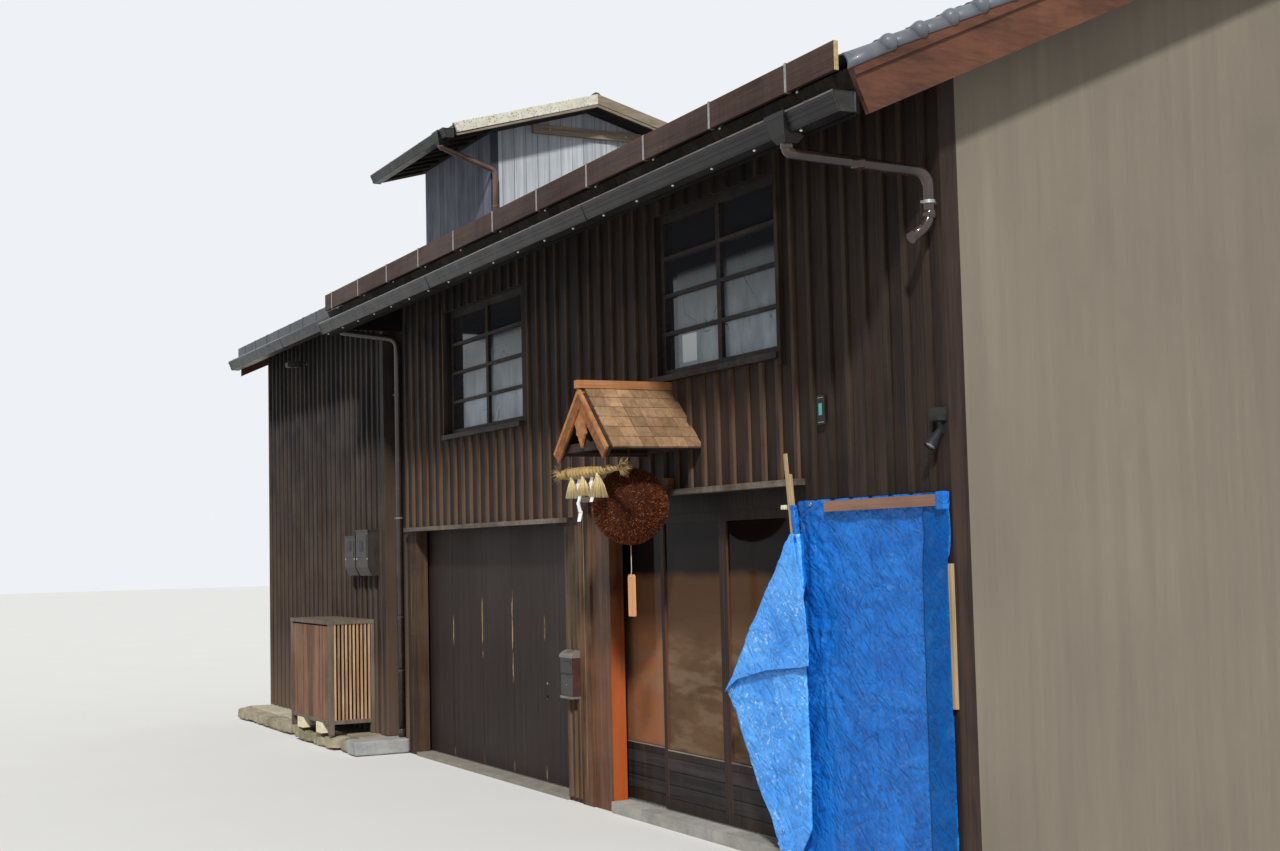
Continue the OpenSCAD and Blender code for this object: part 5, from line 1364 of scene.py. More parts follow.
def makeBall():
    b = cedarBall
    bm = bmesh.new()
    bmesh.ops.create_icosphere(bm, subdivisions=4, radius=b.core)
    bmesh.ops.translate(bm, verts=bm.verts, vec=b.centre)
    for v in bm.verts:
        away = (v.co - Vector(b.centre)).normalized()
        v.co += away * 0.006 * noise.noise(v.co * 14)
    surface = template("ballSurface", bm, "cedarCore")
    core = surface.data
    core.polygons.foreach_set("use_smooth", [True] * len(core.polygons))
    sprig = bmesh.new()
    for turn in range(3):
        t = turn * 2.1
        lean = Vector((math.cos(t), math.sin(t), 0)) * 0.35
        side = Vector((-math.sin(t), math.cos(t), 0)) * 0.12
        tip = Vector((lean.x, lean.y, 1.0))
        v = corner(sprig, [side, -side, tip, Vector((0, 0, 0.1)) - side * 0.2 + lean * 0.3])
        for ring in ((0, 1, 2), (1, 3, 2), (3, 0, 2)):
            sprig.faces.new([v[k] for k in ring])
    sprigPart = template("sprigPart", sprig)
    fuzz = grown(scatterTree, Part=sprigPart, Surface=surface, Density=b.density,
        Size=(0.008, 0.008, 0.0175), Size_wander=(0.3, 0.3, 0.25), Turn_wander=(0.5, 0.5, 3.1), Seed=7,
        Finish=finishes["cedarSprigs"])
    setPiece("ball_sprigs", joined([core.copy(), fuzz]), "cedar_sprigs", replaced="cedar_ball")


makeBall()
print("cedar ball made")


# Street posts and boards: a brown post of two boards, the jamb board, pier ribs and small trims;
# their sides carry painted sunlight and their upper parts painted shade

def makePosts():
    bm = bmesh.new()
    # finish 2 draws thin pale lines along the post's joint and the garage jamb's edge
    for low, high, mat in (
            ((-1.66, 0.0, 0.0), (-1.511, 0.1, 1.895), 4), ((1.8303, -0.014, 0.0), (1.9165, 0.1, 2.02), 0),
            ((1.9195, -0.014, 0.0), (2.007, 0.1, 2.02), 0), ((1.9163, -0.0165, 0.11),
                (1.9197, -0.004, 1.97), 2), ((2.019, 0.0, 0.0), (2.285, 0.1, 2.02), 1),
                ((2.006, 0.03, 0.0), (2.02, 0.1, 2.02), 3), ((-1.6575, -0.0012, 1.02), (-1.6555, 0.0, 1.62),
                    2), ((-1.6575, -0.0012, 1.02), (-1.6, 0.0, 1.0225), 2)):
        boxInto(bm, low, high, mat)
    finishPiece("front_posts", bm, ["postWood", "reddishBoard", "palePostLine", "holeDark", "jambWood"],
        "brown_timber", replaced="street_posts", bevel=0.0015)


def makeTrims():
    bm = bmesh.new()
    for low, high, mat in (
            ((-2.1, -0.116, 0.13), (-2.004, -0.0995, 3.94), 0), ((-1.947, -0.022, 0.02),
                (-1.915, 0.0, 1.87), 0), ((-1.775, -0.022, 0.02), (-1.743, 0.0, 1.87), 0)):
        boxInto(bm, low, high, mat)
    for z0, z1 in ((0.03, 0.7), (1.031, 1.872)):  # ribs of the pier, below and above the letter box
        for x0, x1 in ((1.6255, 1.66), (1.703, 1.737), (1.787, 1.823)):
            boxInto(bm, (x0, -0.022, z0), (x1, 0.0, z1), 1)
    for low, high in (((-0.742, -0.026, 2.625), (-0.722, -0.001, 3.7)),
            ((4.512, -0.03, 2.68), (4.546, -0.001, 3.9))):
        boxInto(bm, low, high, 1)
    boxInto(bm, (3.148, -0.04, 2.0545), (3.226, -0.0005, 2.128), 2)
    boxInto(bm, (4.714, -0.0015, 1.937), (5.968, -0.0002, 2.06), 3)
    finishPiece("wall_trims", bm, ["leftBattens", "pierRib", "canopyWood", "shopBoards"], "dark_boards")


makePosts()
makeTrims()


# Wide board door: five wide boards on a dark back, with a round sunk pull and a key slot

boardDoor = named({"seams": [-1.55, -0.968, -0.314, 0.307, 0.917, 1.634], "gap": 0.003, "front": 0.124,
    "seat": 0.137, "back": 0.16, "low": 0.0383, "high": 1.915, "pull": (0.954, 0.64), "pullRadius": 0.022})


def makeBoardDoor():
    d = boardDoor
    bm = bmesh.new()
    for x0, x1 in zip(d.seams, d.seams[1:]):
        low, high = x0 + d.gap / 2, x1 - d.gap / 2
        if not low < d.pull[0] < high:
            boxInto(bm, (low, d.front, d.low), (high, d.seat, d.high))
            continue
        px, pz, r = *d.pull, d.pullRadius
        edge = [(low, pz - 0.3), (high, pz - 0.3), (high, pz + 0.3), (low, pz + 0.3)]
        boxInto(bm, (low, d.front, d.low), (high, d.seat, pz - 0.3))
        boxInto(bm, (low, d.front, pz + 0.3), (high, d.seat, d.high))
        sides = 32
        rings = []
        for y in (d.front, d.seat):
            circle = [(px + r * math.cos(t), y, pz + r * math.sin(t))
                for t in angles(sides, -3 * math.pi / 4)]
            frameRing = []
            for k in range(sides):
                a, b = edge[k * 4 // sides], edge[(k * 4 // sides + 1) % 4]
                share = (k * 4 / sides) % 1.0
                frameRing.append((a[0] + (b[0] - a[0]) * share, y, a[1] + (b[1] - a[1]) * share))
            rings.append((corner(bm, circle), corner(bm, frameRing)))
        (inFront, outFront), (inBack, outBack) = rings
        made = []
        for k in range(sides):
            n = (k + 1) % sides
            made += [bm.faces.new((inFront[k], inFront[n], outFront[n], outFront[k])),
                bm.faces.new((inBack[k], outBack[k], outBack[n], inBack[n])),
                bm.faces.new((inFront[k], inBack[k], inBack[n], inFront[n])),
                bm.faces.new((outFront[k], outFront[n], outBack[n], outBack[k]))]
        bmesh.ops.recalc_face_normals(bm, faces=made)
    boxInto(bm, (d.seams[0], d.seat, d.low), (d.seams[-1], d.back, d.high), 1)
    finishPiece("door_boards", bm, ["doorBoards", "holeDark"], "door_boards", body="board_door",
        replaced="garage_door", bevel=0.0012)
    ring = bmesh.new()
    px, pz, r = *d.pull, d.pullRadius
    turnInto(ring, [(r + 0.005, 0.0), (r + 0.0045, 0.0015), (r, 0.002), (r - 0.0015, 0.0),
        (r - 0.0015, -0.0128), (0.0, -0.0128), (0.0, -0.0132), (r, -0.0131)], (px, d.front - 0.0002, pz),
        (0, -1, 0), sides=32)
    boxInto(ring, (px - 0.009, d.front - 0.0015, pz + 0.098), (px + 0.009, d.front + 0.004, pz + 0.112), 1)
    finishPiece("door_pull", ring, ["lampDark", "steel"], "steel", body="board_door")


makeBoardDoor()
for index, left in enumerate((2.045, 2.80125, 3.6025, 4.35875), 1):
    # Foot boards of one glass door, with a pale worn rail edge over them
    front = 0.112 if index in (2, 3) else 0.154
    bm = bmesh.new()
    for k in range(3):
        z = 0.1503 + k * 0.0833
        boxInto(bm, (left + 0.0425, front + 0.0025, z + 0.0015), (left + 0.7535, front + 0.0085,
            z + 0.0818))
    boxInto(bm, (left + 0.042, front - 0.0015, 0.4405), (left + 0.7542, front + 0.001, 0.4495), 1)
    finishPiece("foot_boards_%d" % index, bm, ["footBoards", "railEdge"], "dark_timber",
        body="glass_panel_%d" % index, bevel=0.0012)
print("posts and doors made")


# Upper window panes, each pair with its own glass

def makePanes(name, key, x0, width, z0, replaced=None):
    bm = bmesh.new()
    for y0 in (0.063, 5.633):
        boxInto(bm, (x0 + 0.0225, y0, z0 + 0.0225), (x0 + width - 0.0225, y0 + 0.004, z0 + 0.9875))
    finishPiece(name, bm, [key], "frosted_glass", replaced=replaced)


makePanes("left_panes", "leftPanes", -0.7, 1.58, 2.66, "window_glass")
makePanes("right_panes", "rightPanes", 3.04, 1.45, 2.755)


# Stone ledge: rough stones along the front, a flatter bed behind them and a concrete corner

cover = named({"left": -3.595, "right": -2.34, "front": -0.535, "back": -0.1, "foot": 0.13, "rail": 0.222,
    "top": 1.13, "post": 0.045, "lid": 0.033, "slats": 10, "slatWidth": 0.0175, "feet": (-2.66, -3.27)})
ledge = named({"front": -0.54, "inset": 0.045, "row": -0.335, "left": -5.97, "end": -1.73, "top": 0.13,
    "corner": -1.985, "stones": [-5.97, -5.52, -5.19, -4.71, -4.33, -3.86, -3.52, -3.21, -2.87, -2.58,
    -2.29, -1.99]})


def makeLedge():
    s = ledge
    bm = bmesh.new()
    for k, (a, b) in enumerate(zip(s.stones, s.stones[1:])):
        dip = 0.012 * (k % 3) * (1 if a > -4 else 0.4)
        front = s.front + 0.5 * dip + (0.0 if cover.left < (a + b) / 2 < cover.right else s.inset)
        softBlock(bm, (a + 0.004, front, 0.0), (b - 0.004, s.row + 0.02, s.top - dip), 0.03, 0.034, 9,
            seed=3.1 * k, grain=7.0)
    for k, (a, b, mat) in enumerate(((-5.97, -4.9, 1), (-4.895, -3.9, 1), (-3.895, -2.9, 0),
            (-2.895, -1.99, 0))):
        softBlock(bm, (a, s.row - 0.01, 0.0), (b, -0.0003, s.top), 0.01, 0.007, 12, seed=50 + k, mat=mat,
            grain=5.0)
    softBlock(bm, (s.corner, s.front + s.inset, 0.0), (s.end, -0.0003, s.top), 0.016, 0.01, 10, seed=71,
        mat=2, grain=6.0)
    finishPiece("ledge_stones", bm, ["stoneLedge", "creamConcrete", "concreteBlock"], "grey_stone",
        replaced="stone_ledge")


makeLedge()


# Equipment cover: narrow boards in front, open slats at its ends, a boarded lid and two feet of pale concrete

def makeCover():
    c = cover
    x0, x1, y0, y1, p = c.left, c.right, c.front, c.back, c.post
    under = c.top - c.lid
    bm = bmesh.new()
    for x in (x0 + 0.003, x1 - p - 0.003):
        for y in (y0 + 0.003, y1 - p - 0.002):
            boxInto(bm, (x, y, c.foot), (x + p, y + p, under))
    for low, high in (((x0 + p, y0 + 0.006), (x1 - p, y0 + 0.04)),
            ((x0 + p, y1 - 0.04), (x1 - p, y1 - 0.004)), ((x0 + 0.006, y0 + p), (x0 + 0.04, y1 - p)),
            ((x1 - 0.04, y0 + p), (x1 - 0.006, y1 - p))):
        boxInto(bm, (*low, c.rail), (*high, c.rail + 0.035))
    for low, high in (((x0, y0), (x1, y0 + 0.04)), ((x0, y1 - 0.04), (x1, y1)),
            ((x0, y0 + 0.041), (x0 + 0.04, y1 - 0.041)), ((x1 - 0.04, y0 + 0.041), (x1, y1 - 0.041))):
        boxInto(bm, (*low, under), (*high, c.top))
    for k in range(5):
        y = y0 + 0.0425 + k * 0.07
        boxInto(bm, (x0 + 0.0415, y, under + 0.004), (x1 - 0.0415, y + 0.0675, c.top - 0.003))
    boxInto(bm, (x0 + p + 0.01, y0 + 0.045, c.rail), (x1 - p - 0.01, y1 - 0.002, under - 0.002), 1)
    frameMesh = meshFrom("coverFrame", bm, "coverFrame", "holeDark")
    long = x1 - x0 - 2 * p
    count = round(long / 0.052)
    step = long / count
    boards = bars("coverFront", (x0 + p + step / 2, y0 + 0.016, c.rail + 0.03), (step, 0, 0), count,
        (step - 0.0025, 0.014, under - c.rail - 0.045), seed=91, wander=(0, 0.0012, 0))
    ends = []
    pitch = (y1 - y0 - 2 * p) / c.slats
    for x, seed in ((x1 - 0.018, 92), (x0 + 0.018, 93)):
        ends.append(bars("coverSlat", (x, y0 + p + pitch / 2, c.rail + 0.03), (0, pitch, 0), c.slats,
            (0.022, c.slatWidth, under - c.rail - 0.03), seed=seed, wander=(0.0012, 0.001, 0),
            turnWander=(0.001, 0.001, 0.03)))
    setPiece("cover_boards", joined([boards, *ends, frameMesh]), "brown_board", replaced="equipment_cover")
    feet = bmesh.new()
    face = y0 - 0.004
    for x in c.feet:
        prismInto(feet, [(face, 0.131), (face, 0.226), (face + 0.038, 0.226), (face + 0.076, 0.176),
            (face + 0.076, 0.131)], "x", x - 0.085, x + 0.085)
        for dx in (-0.04, 0.035):
            turnInto(feet, [(0.0, 0.0006), (0.007, 0.0006), (0.007, -0.002)], (x + dx, face, 0.192),
                (0, -1, 0), sides=12, mat=1)
    finishPiece("cover_feet", feet, ["creamBlock", "holeDark"], "brown_board", bevel=0.004)


makeCover()
print("ledge and cover made")


# Small fittings: letter box, meters, lamps and plate

def makeLetterBox():
    bm = bmesh.new()
    body = [(-0.07, 0.716), (-0.07, 0.852), (-0.064, 0.858), (-0.064, 0.866), (-0.073, 0.872),
        (-0.073, 0.985), (-0.0003, 1.006), (-0.0003, 0.716)]
    prismInto(bm, body, "x", 1.63, 1.8215)
    for face in bm.faces:
        at = face.calc_center_median()
        if abs(face.normal.x) > 0.9:
            face.material_index = 2
        elif at.z < 0.857 and at.y < -0.06:
            face.material_index = 1
    arch = [(-0.078, 0.974), (-0.078, 0.99), (-0.066, 1.006), (-0.045, 1.019), (-0.02, 1.027),
        (-0.0003, 1.03), (-0.0003, 1.024), (-0.02, 1.02), (-0.043, 1.012), (-0.062, 1.0), (-0.073, 0.986),
        (-0.073, 0.974)]
    prismInto(bm, arch, "x", 1.623, 1.828, 3)
    side = [(-0.0735, 0.974), (-0.0735, 0.986), (-0.062, 1.0), (-0.043, 1.012), (-0.02, 1.02),
        (-0.0003, 1.024), (-0.0003, 0.974)]
    for x in (1.6235, 1.8245):
        prismInto(bm, side, "x", x, x + 0.003, 3)
    boxInto(bm, (1.625, -0.077, 0.7), (1.826, -0.0003, 0.7155), 3)
    boxInto(bm, (1.655, -0.0755, 0.93), (1.797, -0.072, 0.962), 0)
    boxInto(bm, (1.668, -0.0762, 0.949), (1.784, -0.075, 0.9535), 4)
    turnInto(bm, [(0.0, 0.003), (0.006, 0.003), (0.007, 0.0)], (1.726, -0.0705, 0.79), (0, -1, 0), sides=14,
        mat=3)
    finishPiece("letter_box", bm, ["boxFront", "boxLow", "boxSide", "boxLid", "holeDark"], "grey_plastic",
        replaced="mailbox", bevel=0.0015)


def meterInto(bm, x1, width, high):
    x0, z0, face = x1 - width, 1.52, -0.23
    outline = [(-0.1003, z0), (-0.1003, z0 + high - 0.012), (face + 0.004, z0 + high - 0.012),
        (face + 0.004, z0 + 0.075), (face + 0.04, z0)]
    prismInto(bm, outline, "x", x0 + 0.004, x1 - 0.004)
    boxInto(bm, (x0, face, z0 + high - 0.014), (x1, -0.1003, z0 + high))
    cx = (x0 + x1) / 2
    boxInto(bm, (x0 + 0.035, face + 0.0005, z0 + 0.165), (x1 - 0.035, face + 0.006, z0 + high - 0.05), 0)
    boxInto(bm, (cx - 0.065, face, z0 + 0.215), (cx + 0.065, face + 0.002, z0 + 0.315), 1)
    turnInto(bm, [(0.0, 0.0015), (0.045, 0.0015), (0.046, 0.0)], (cx, face, z0 + 0.265), (0, -1, 0),
        sides=28, mat=1)
    for dx in (-1, 1):
        turnInto(bm, [(0.0, 0.003), (0.007, 0.003), (0.008, 0.0)], (cx + dx * (width / 2 - 0.022),
            face + 0.004, z0 + 0.15), (0, -1, 0), sides=12, mat=2)
    sweepInto(bm, [(cx, -0.118, z0 + 0.004), (cx, -0.118, z0 - 0.16), (cx, -0.1035, z0 - 0.2)], 0.011,
        sides=12, mat=0)


def makeMeters():
    bm = bmesh.new()
    meterInto(bm, -2.155, 0.345, 0.41)
    meterInto(bm, -2.53, 0.31, 0.36)
    finishPiece("meter_housings", bm, ["meterGrey", "lampDark", "steel"], "grey_plastic",
        replaced="meter_boxes", bevel=0.011)


def makeLamps():
    bm = bmesh.new()
    x, z, wall = -4.473, 3.665, -0.1
    turnInto(bm, [(0.0, 0.012), (0.018, 0.012), (0.028, 0.008), (0.03, 0.0), (0.0, 0.0)], (x, wall, z),
        (0, -1, 0), sides=24)
    sweepInto(bm, rounded([(x, wall - 0.008, z), (x, wall - 0.05, z), (x, wall - 0.07, z + 0.008),
        (x, wall - 0.1, z)], 0.02), 0.008, sides=12)
    prismInto(bm, [(-0.182, 3.674), (-0.3, 3.674), (-0.3148, 3.66), (-0.3148, 3.622), (-0.302, 3.615),
        (-0.19, 3.615), (-0.1802, 3.63)], "x", x - 0.049, x + 0.049)
    prismInto(bm, [(-0.299, 3.615), (-0.205, 3.615), (-0.213, 3.6142), (-0.291, 3.6142)], "x", x - 0.04,
        x + 0.04, 2)
    sx, sz = 5.925, 2.226
    boxInto(bm, (sx - 0.031, -0.0495, sz + 0.041), (sx + 0.031, 0.0, sz + 0.1015), 3)
    turnInto(bm, [(0.0, 0.016), (0.01, 0.014), (0.018, 0.008), (0.02, 0.0)], (sx, -0.042, sz + 0.05),
        (0, -0.35, -1), sides=20, mat=1)
    boxInto(bm, (sx - 0.011, -0.022, sz - 0.02), (sx + 0.011, 0.0, sz + 0.042), 1)
    turnInto(bm, [(0.0, -0.008), (0.012, -0.008), (0.014, 0.0), (0.014, 0.008), (0.0, 0.008)],
        (sx, -0.018, sz), (1, 0, 0), sides=16, mat=1)
    tilt = math.radians(52)
    toward = Vector((0, -math.cos(tilt), -math.sin(tilt)))
    turnInto(bm, [(0.0, -0.002), (0.012, 0.0), (0.0165, 0.012), (0.018, 0.03), (0.021, 0.033),
        (0.022, 0.05), (0.03, 0.082), (0.0318, 0.104), (0.0285, 0.104), (0.027, 0.094)], (sx, -0.018, sz),
        toward, sides=28, mat=1)
    turnInto(bm, [(0.0275, 0.094), (0.018, 0.0975), (0.0, 0.099)], (sx, -0.018, sz), toward, sides=28,
        mat=2)
    finishPiece("lamp_fittings", bm, ["lampGrey", "lampDark", "lens", "sensorCase"], "lamp_metal",
        replaced="lamps", bevel=0.0015)


def makePlates():
    bm = bmesh.new()
    boxInto(bm, (4.885, -0.0265, 2.325), (4.958, -0.0215, 2.477))
    for low, high, mat in (((4.895, 2.335), (4.948, 2.339), 3), ((4.895, 2.463), (4.948, 2.467), 3),
            ((4.903, 2.374), (4.934, 2.436), 1)):
        boxInto(bm, (low[0], -0.028, low[1]), (high[0], -0.026, high[1]), mat)
    softBlock(bm, (4.546, -0.06, 1.893), (4.588, -0.004, 1.918), 0.004, 0.0, 3, mat=2)
    finishPiece("wall_plates", bm, ["lampDark", "tealPlate", "creamBlock", "strapMetal"], "grey_plastic",
        bevel=0.0008)


makeLetterBox()
makeMeters()
makeLamps()
makePlates()
print("fittings made")


# Straw rope: three twisted strands that swell left of the middle, frayed ends, bell tassels and folded papers

strawWork = named({"centre": (3.215, -0.565, 2.17), "left": -0.425, "right": 0.435, "swell": -0.14,
    "radius": 0.035, "twist": 0.135, "tassels": [(-0.21, 0.046, 0.158), (-0.05, 0.046, 0.15),
    (0.15, 0.06, 0.166)], "papers": [(-0.135, 5), (0.045, 3)], "cords": 0.27, "beam": 2.291, "seed": 17})


def strawInto(bm, layer, points, radius, tone, mat=1):
    # One straw: a thin three-sided stalk along a few points
    rows = sweepInto(bm, points, [radius] * (len(points) - 1) + [radius * 0.35], sides=3, mat=mat)
    for row in rows:
        for v in row:
            v[layer] = tone


def makeRope():
    s = strawWork
    rng = random.Random(s.seed)
    base = Vector(s.centre)
    bm = bmesh.new()
    layer = bm.verts.layers.float.new("tone")

    def thick(t):
        return s.radius * (1.0 - 0.62 * min(1.0, abs(t - s.swell) / 0.5) ** 1.7)

    def strandAt(t, strand, share=0.6):
        turn = 2 * math.pi * (t / s.twist + strand / 3)
        r = thick(t) * share
        return base + Vector((t, r * math.cos(turn), r * math.sin(turn) - 0.006 * math.cos(3 * t)))

    steps = 110
    for strand in range(3):
        spots = [s.left + (s.right - s.left) * k / steps for k in range(steps + 1)]
        rows = sweepInto(bm, [strandAt(t, strand) for t in spots], [thick(t) * 0.47 for t in spots],
            sides=9, mat=0)
        for row, t in zip(rows, spots):
            for v in row:
                v[layer] = 0.35 + 0.25 * noise.noise(Vector((t * 30, strand, 0)))
    for k in range(620):
        # Loose straws that follow the twist and lift a little at their tips
        strand, t, around = rng.randrange(3), rng.uniform(s.left, s.right - 0.05), rng.uniform(0,
            2 * math.pi)
        length = rng.uniform(0.035, 0.1)
        points = []
        for j in range(4):
            at = min(t + length * j / 3, s.right)
            r = thick(at) * (0.475 + (0.14 * rng.random() if j == 3 else 0.0))
            points.append(strandAt(at, strand) + r * Vector((0, math.cos(around + 8 * (at - t)),
                math.sin(around + 8 * (at - t)))))
        strawInto(bm, layer, points, 0.001, rng.random(), 0)
    for end, way, count, spread in ((s.left, -1, 150, 0.95), (s.right, 1, 110, 1.0)):
        for k in range(count):
            around, lean = rng.uniform(0, 2 * math.pi), spread * math.sqrt(rng.random())
            start = base + Vector((end - way * 0.02, 0.008 * math.cos(around), 0.008 * math.sin(around)))
            reach = rng.uniform(0.045, 0.085)
            tip = start + reach * Vector((way, 0.5 * lean * math.cos(around),
                lean * math.sin(around) * 0.8))
            strawInto(bm, layer, [start, start.lerp(tip, 0.5) + Vector((0, 0, 0.002)), tip], 0.0011,
                rng.random(), 0)
    for x in (s.left + 0.012, s.right - 0.012, s.right - 0.028):
        bandInto(bm, thick(s.right) * 1.05, 0.004, 0.006, base + Vector((x, 0, 0)), (1, 0, 0), 14, 0)
    for x, radius, high in s.tassels:
        top = base + Vector((x, -0.015, -0.016))
        for k in range(230):
            around, out = rng.uniform(0, 2 * math.pi), math.sqrt(rng.uniform(0.25, 1.0))
            away = Vector((math.cos(around), math.sin(around), 0))
            long = high * rng.uniform(0.93, 0.995)
            points = [top + away * 0.01 * out, top + away * 0.013 * out + Vector((0, 0, -0.025)),
                top + away * radius * 0.62 * out + Vector((0, 0, -0.45 * long)),
                top + away * (radius - 0.001) * out + Vector((0, 0, 0.016 - long))]
            strawInto(bm, layer, points, 0.0014, min(1.0, 0.25 + 0.75 * rng.random()))
        for dz in (-0.02, -0.028):
            bandInto(bm, 0.0145, 0.0025, 0.0035, top + Vector((0, 0, dz)), (0, 0, 1), 14, 2)
    for side in (-1, 1):
        at, wide = Vector((side * s.cords, 0, 0)), thick(side * s.cords)
        foot = base + at + Vector((0, 0, wide * 0.8))
        sweepInto(bm, [foot, (foot.x, foot.y, s.beam)], 0.004, sides=8, mat=3)
        bandInto(bm, wide * 1.02, 0.005, 0.005, base + at, (1, 0, 0), 16, 0)
    finishPiece("rope_strands", bm, ["strawRope", "strawPale", "cordPale", "cedarCore"], "straw",
        replaced="straw_rope")
    papers = bmesh.new()
    for x, count in s.papers:
        spot = base + Vector((x, -0.002, -0.012))
        for k in range(count):
            w, h, shift = 0.021 + 0.001 * k, 0.06, 0.01 * (1 if k % 2 else -1)
            fold = 0.004 * (1 if k % 2 else -1)
            low = spot + Vector((shift * 1.3, fold, -h))
            ring = [spot + Vector((-w, -fold, 0)), spot + Vector((w, -fold, 0)), low + Vector((w, 0, 0)),
                low + Vector((-w, 0, 0))]
            loftInto(papers, [ring, [p + Vector((0, 0.0008, 0)) for p in ring]])
            spot = low + Vector((0, 0, 0.004))
    finishPiece("folded_papers", papers, ["paper"], "straw")


def makeTag():
    bm = bmesh.new()
    x, y, w = canopy.x, cedarBall.centre[1], 0.041
    outline = [(x - w, 1.304), (x - w + 0.004, 1.3), (x + w - 0.004, 1.3), (x + w, 1.304), (x + w, 1.538),
        (x + w - 0.012, 1.55), (x - w + 0.012, 1.55), (x - w, 1.538)]
    prismInto(bm, outline, "y", y - 0.006, y + 0.006)
    turnInto(bm, [(0.0, 0.0065), (0.0045, 0.0065), (0.0045, -0.0065), (0.0, -0.0065)], (x, y, 1.533),
        (0, 1, 0), sides=14, mat=2)
    sweepInto(bm, [(x, y - 0.0075, 1.534), (x, y - 0.004, 1.548), (x, y, 1.57), (x, y, 1.7235)], 0.0022,
        sides=8, mat=1)
    finishPiece("tag_board", bm, ["tagWood", "cordPale", "holeDark"], "pale_wood", replaced="wood_tag",
        bevel=0.001)


def makePendant():
    # Carved board under the canopy's peak, and facings on its front boards
    bm = bmesh.new()
    x, z, half = canopy.x, 2.64, [(0.034, 0.0), (0.052, -0.06), (0.058, -0.1), (0.074, -0.145),
        (0.086, -0.185), (0.072, -0.2), (0.06, -0.222), (0.062, -0.25), (0.04, -0.262), (0.03, -0.285),
        (0.014, -0.302), (0.0, -0.335)]
    outline = [(x + a, z + b) for a, b in half] + [(x - a, z + b) for a, b in half[-2::-1]]
    prismInto(bm, outline, "y", -0.6175, -0.6)
    for side in (-1, 1):
        a, b = (x, 2.668), (x + side * 0.3745, 2.668 - 0.3745)
        for down, deep, mat in ((0.0, 0.036, 0), (0.0365, 0.128, 1)):
            strip = [(a[0], a[1] - down), (b[0] - side * 0.5 * down, b[1] - 0.5 * down),
                (b[0] - side * 0.5 * deep, b[1] - 0.5 * deep), (a[0], a[1] - deep)]
            prismInto(bm, strip, "y", -0.6265 if mat else -0.6305, -0.6118, mat)
    finishPiece("canopy_pendant", bm, ["ridgeBatten", "canopyWood"], "brown_board", bevel=0.002)


makeRope()
makeTag()
makePendant()
print("rope, tassels and tag made")


# Raised roof: seamed metal sheets on a deck with rafters, lichened verge boards and tie beams

raised = named({"left": -6.062, "right": -3.693, "edge": 1.22, "slope": 0.28, "top": 6.52, "seam": 0.36,
    "rafter": 0.3, "wallIn": 1.82, "cap": 0.055, "board": 0.028, "tieLow": 6.125, "tieTop": 6.22,
    "leftBoard": -6.09})


def raisedTop(y):
    return raised.top - raised.slope * abs(y - house.ridge)


def makeRaisedRoof():
    r = raised
    mid, e = house.ridge, r.edge
    bm = bmesh.new()
    for flip in (False, True):
        at = (lambda y: 2 * mid - y) if flip else (lambda y: y)

        def slab(x0, x1, a, b, high, low, mat):
            prismInto(bm, [(at(a), raisedTop(a) - high), (at(b), raisedTop(b) - high),
                (at(b), raisedTop(b) - low), (at(a), raisedTop(a) - low)], "x", x0, x1, mat)

        slab(r.left, r.right, e - 0.004, mid, 0.0, 0.005, 0)
        slab(r.left + 0.002, r.right - 0.002, e + 0.006, mid, 0.006, 0.034, 1)
        slab(r.left, r.right, e - 0.004, e + 0.004, 0.0, 0.062, 0)
        count = round((r.right - r.left) / r.seam)
        step = (r.right - r.left) / count
        for k in range(count + 1):
            x = min(max(r.left + k * step, r.left + 0.008), r.right - 0.008)
            slab(x - 0.007, x + 0.007, e - 0.004, mid - 0.04, -0.02, 0.001, 0)
        for k in range(1, 6):
            y = e + k * (mid - e) / 6
            slab(r.left, r.right, y, y + 0.006, -0.0022, 0.001, 0)
        ribs = round((r.right - r.left) / r.rafter)
        for k in range(ribs + 1):
            x = r.left + 0.03 + k * (r.right - r.left - 0.06) / ribs
            slab(x - 0.022, x + 0.022, e + 0.022, r.wallIn, 0.034, 0.105, 1)
        slab(r.left + 0.001, r.right - 0.001, 1.7, mid, 0.034, 0.12, 1)
    for k in range(5):
        x = r.left + k * (r.right - r.left) / 5
        long = (r.right - r.left) / 5
        turnInto(bm, [(0.0, 0.0), (r.cap * 0.93, 0.0), (r.cap * 0.93, long - 0.04), (r.cap, long - 0.038),
            (r.cap, long), (0.0, long)], (x, mid, r.top - 0.01), (1, 0, 0), sides=22)
    finishPiece("raised_roof_cover", bm, ["roofMetal", "deckWood"], "brown_metal", replaced="raised_roof")


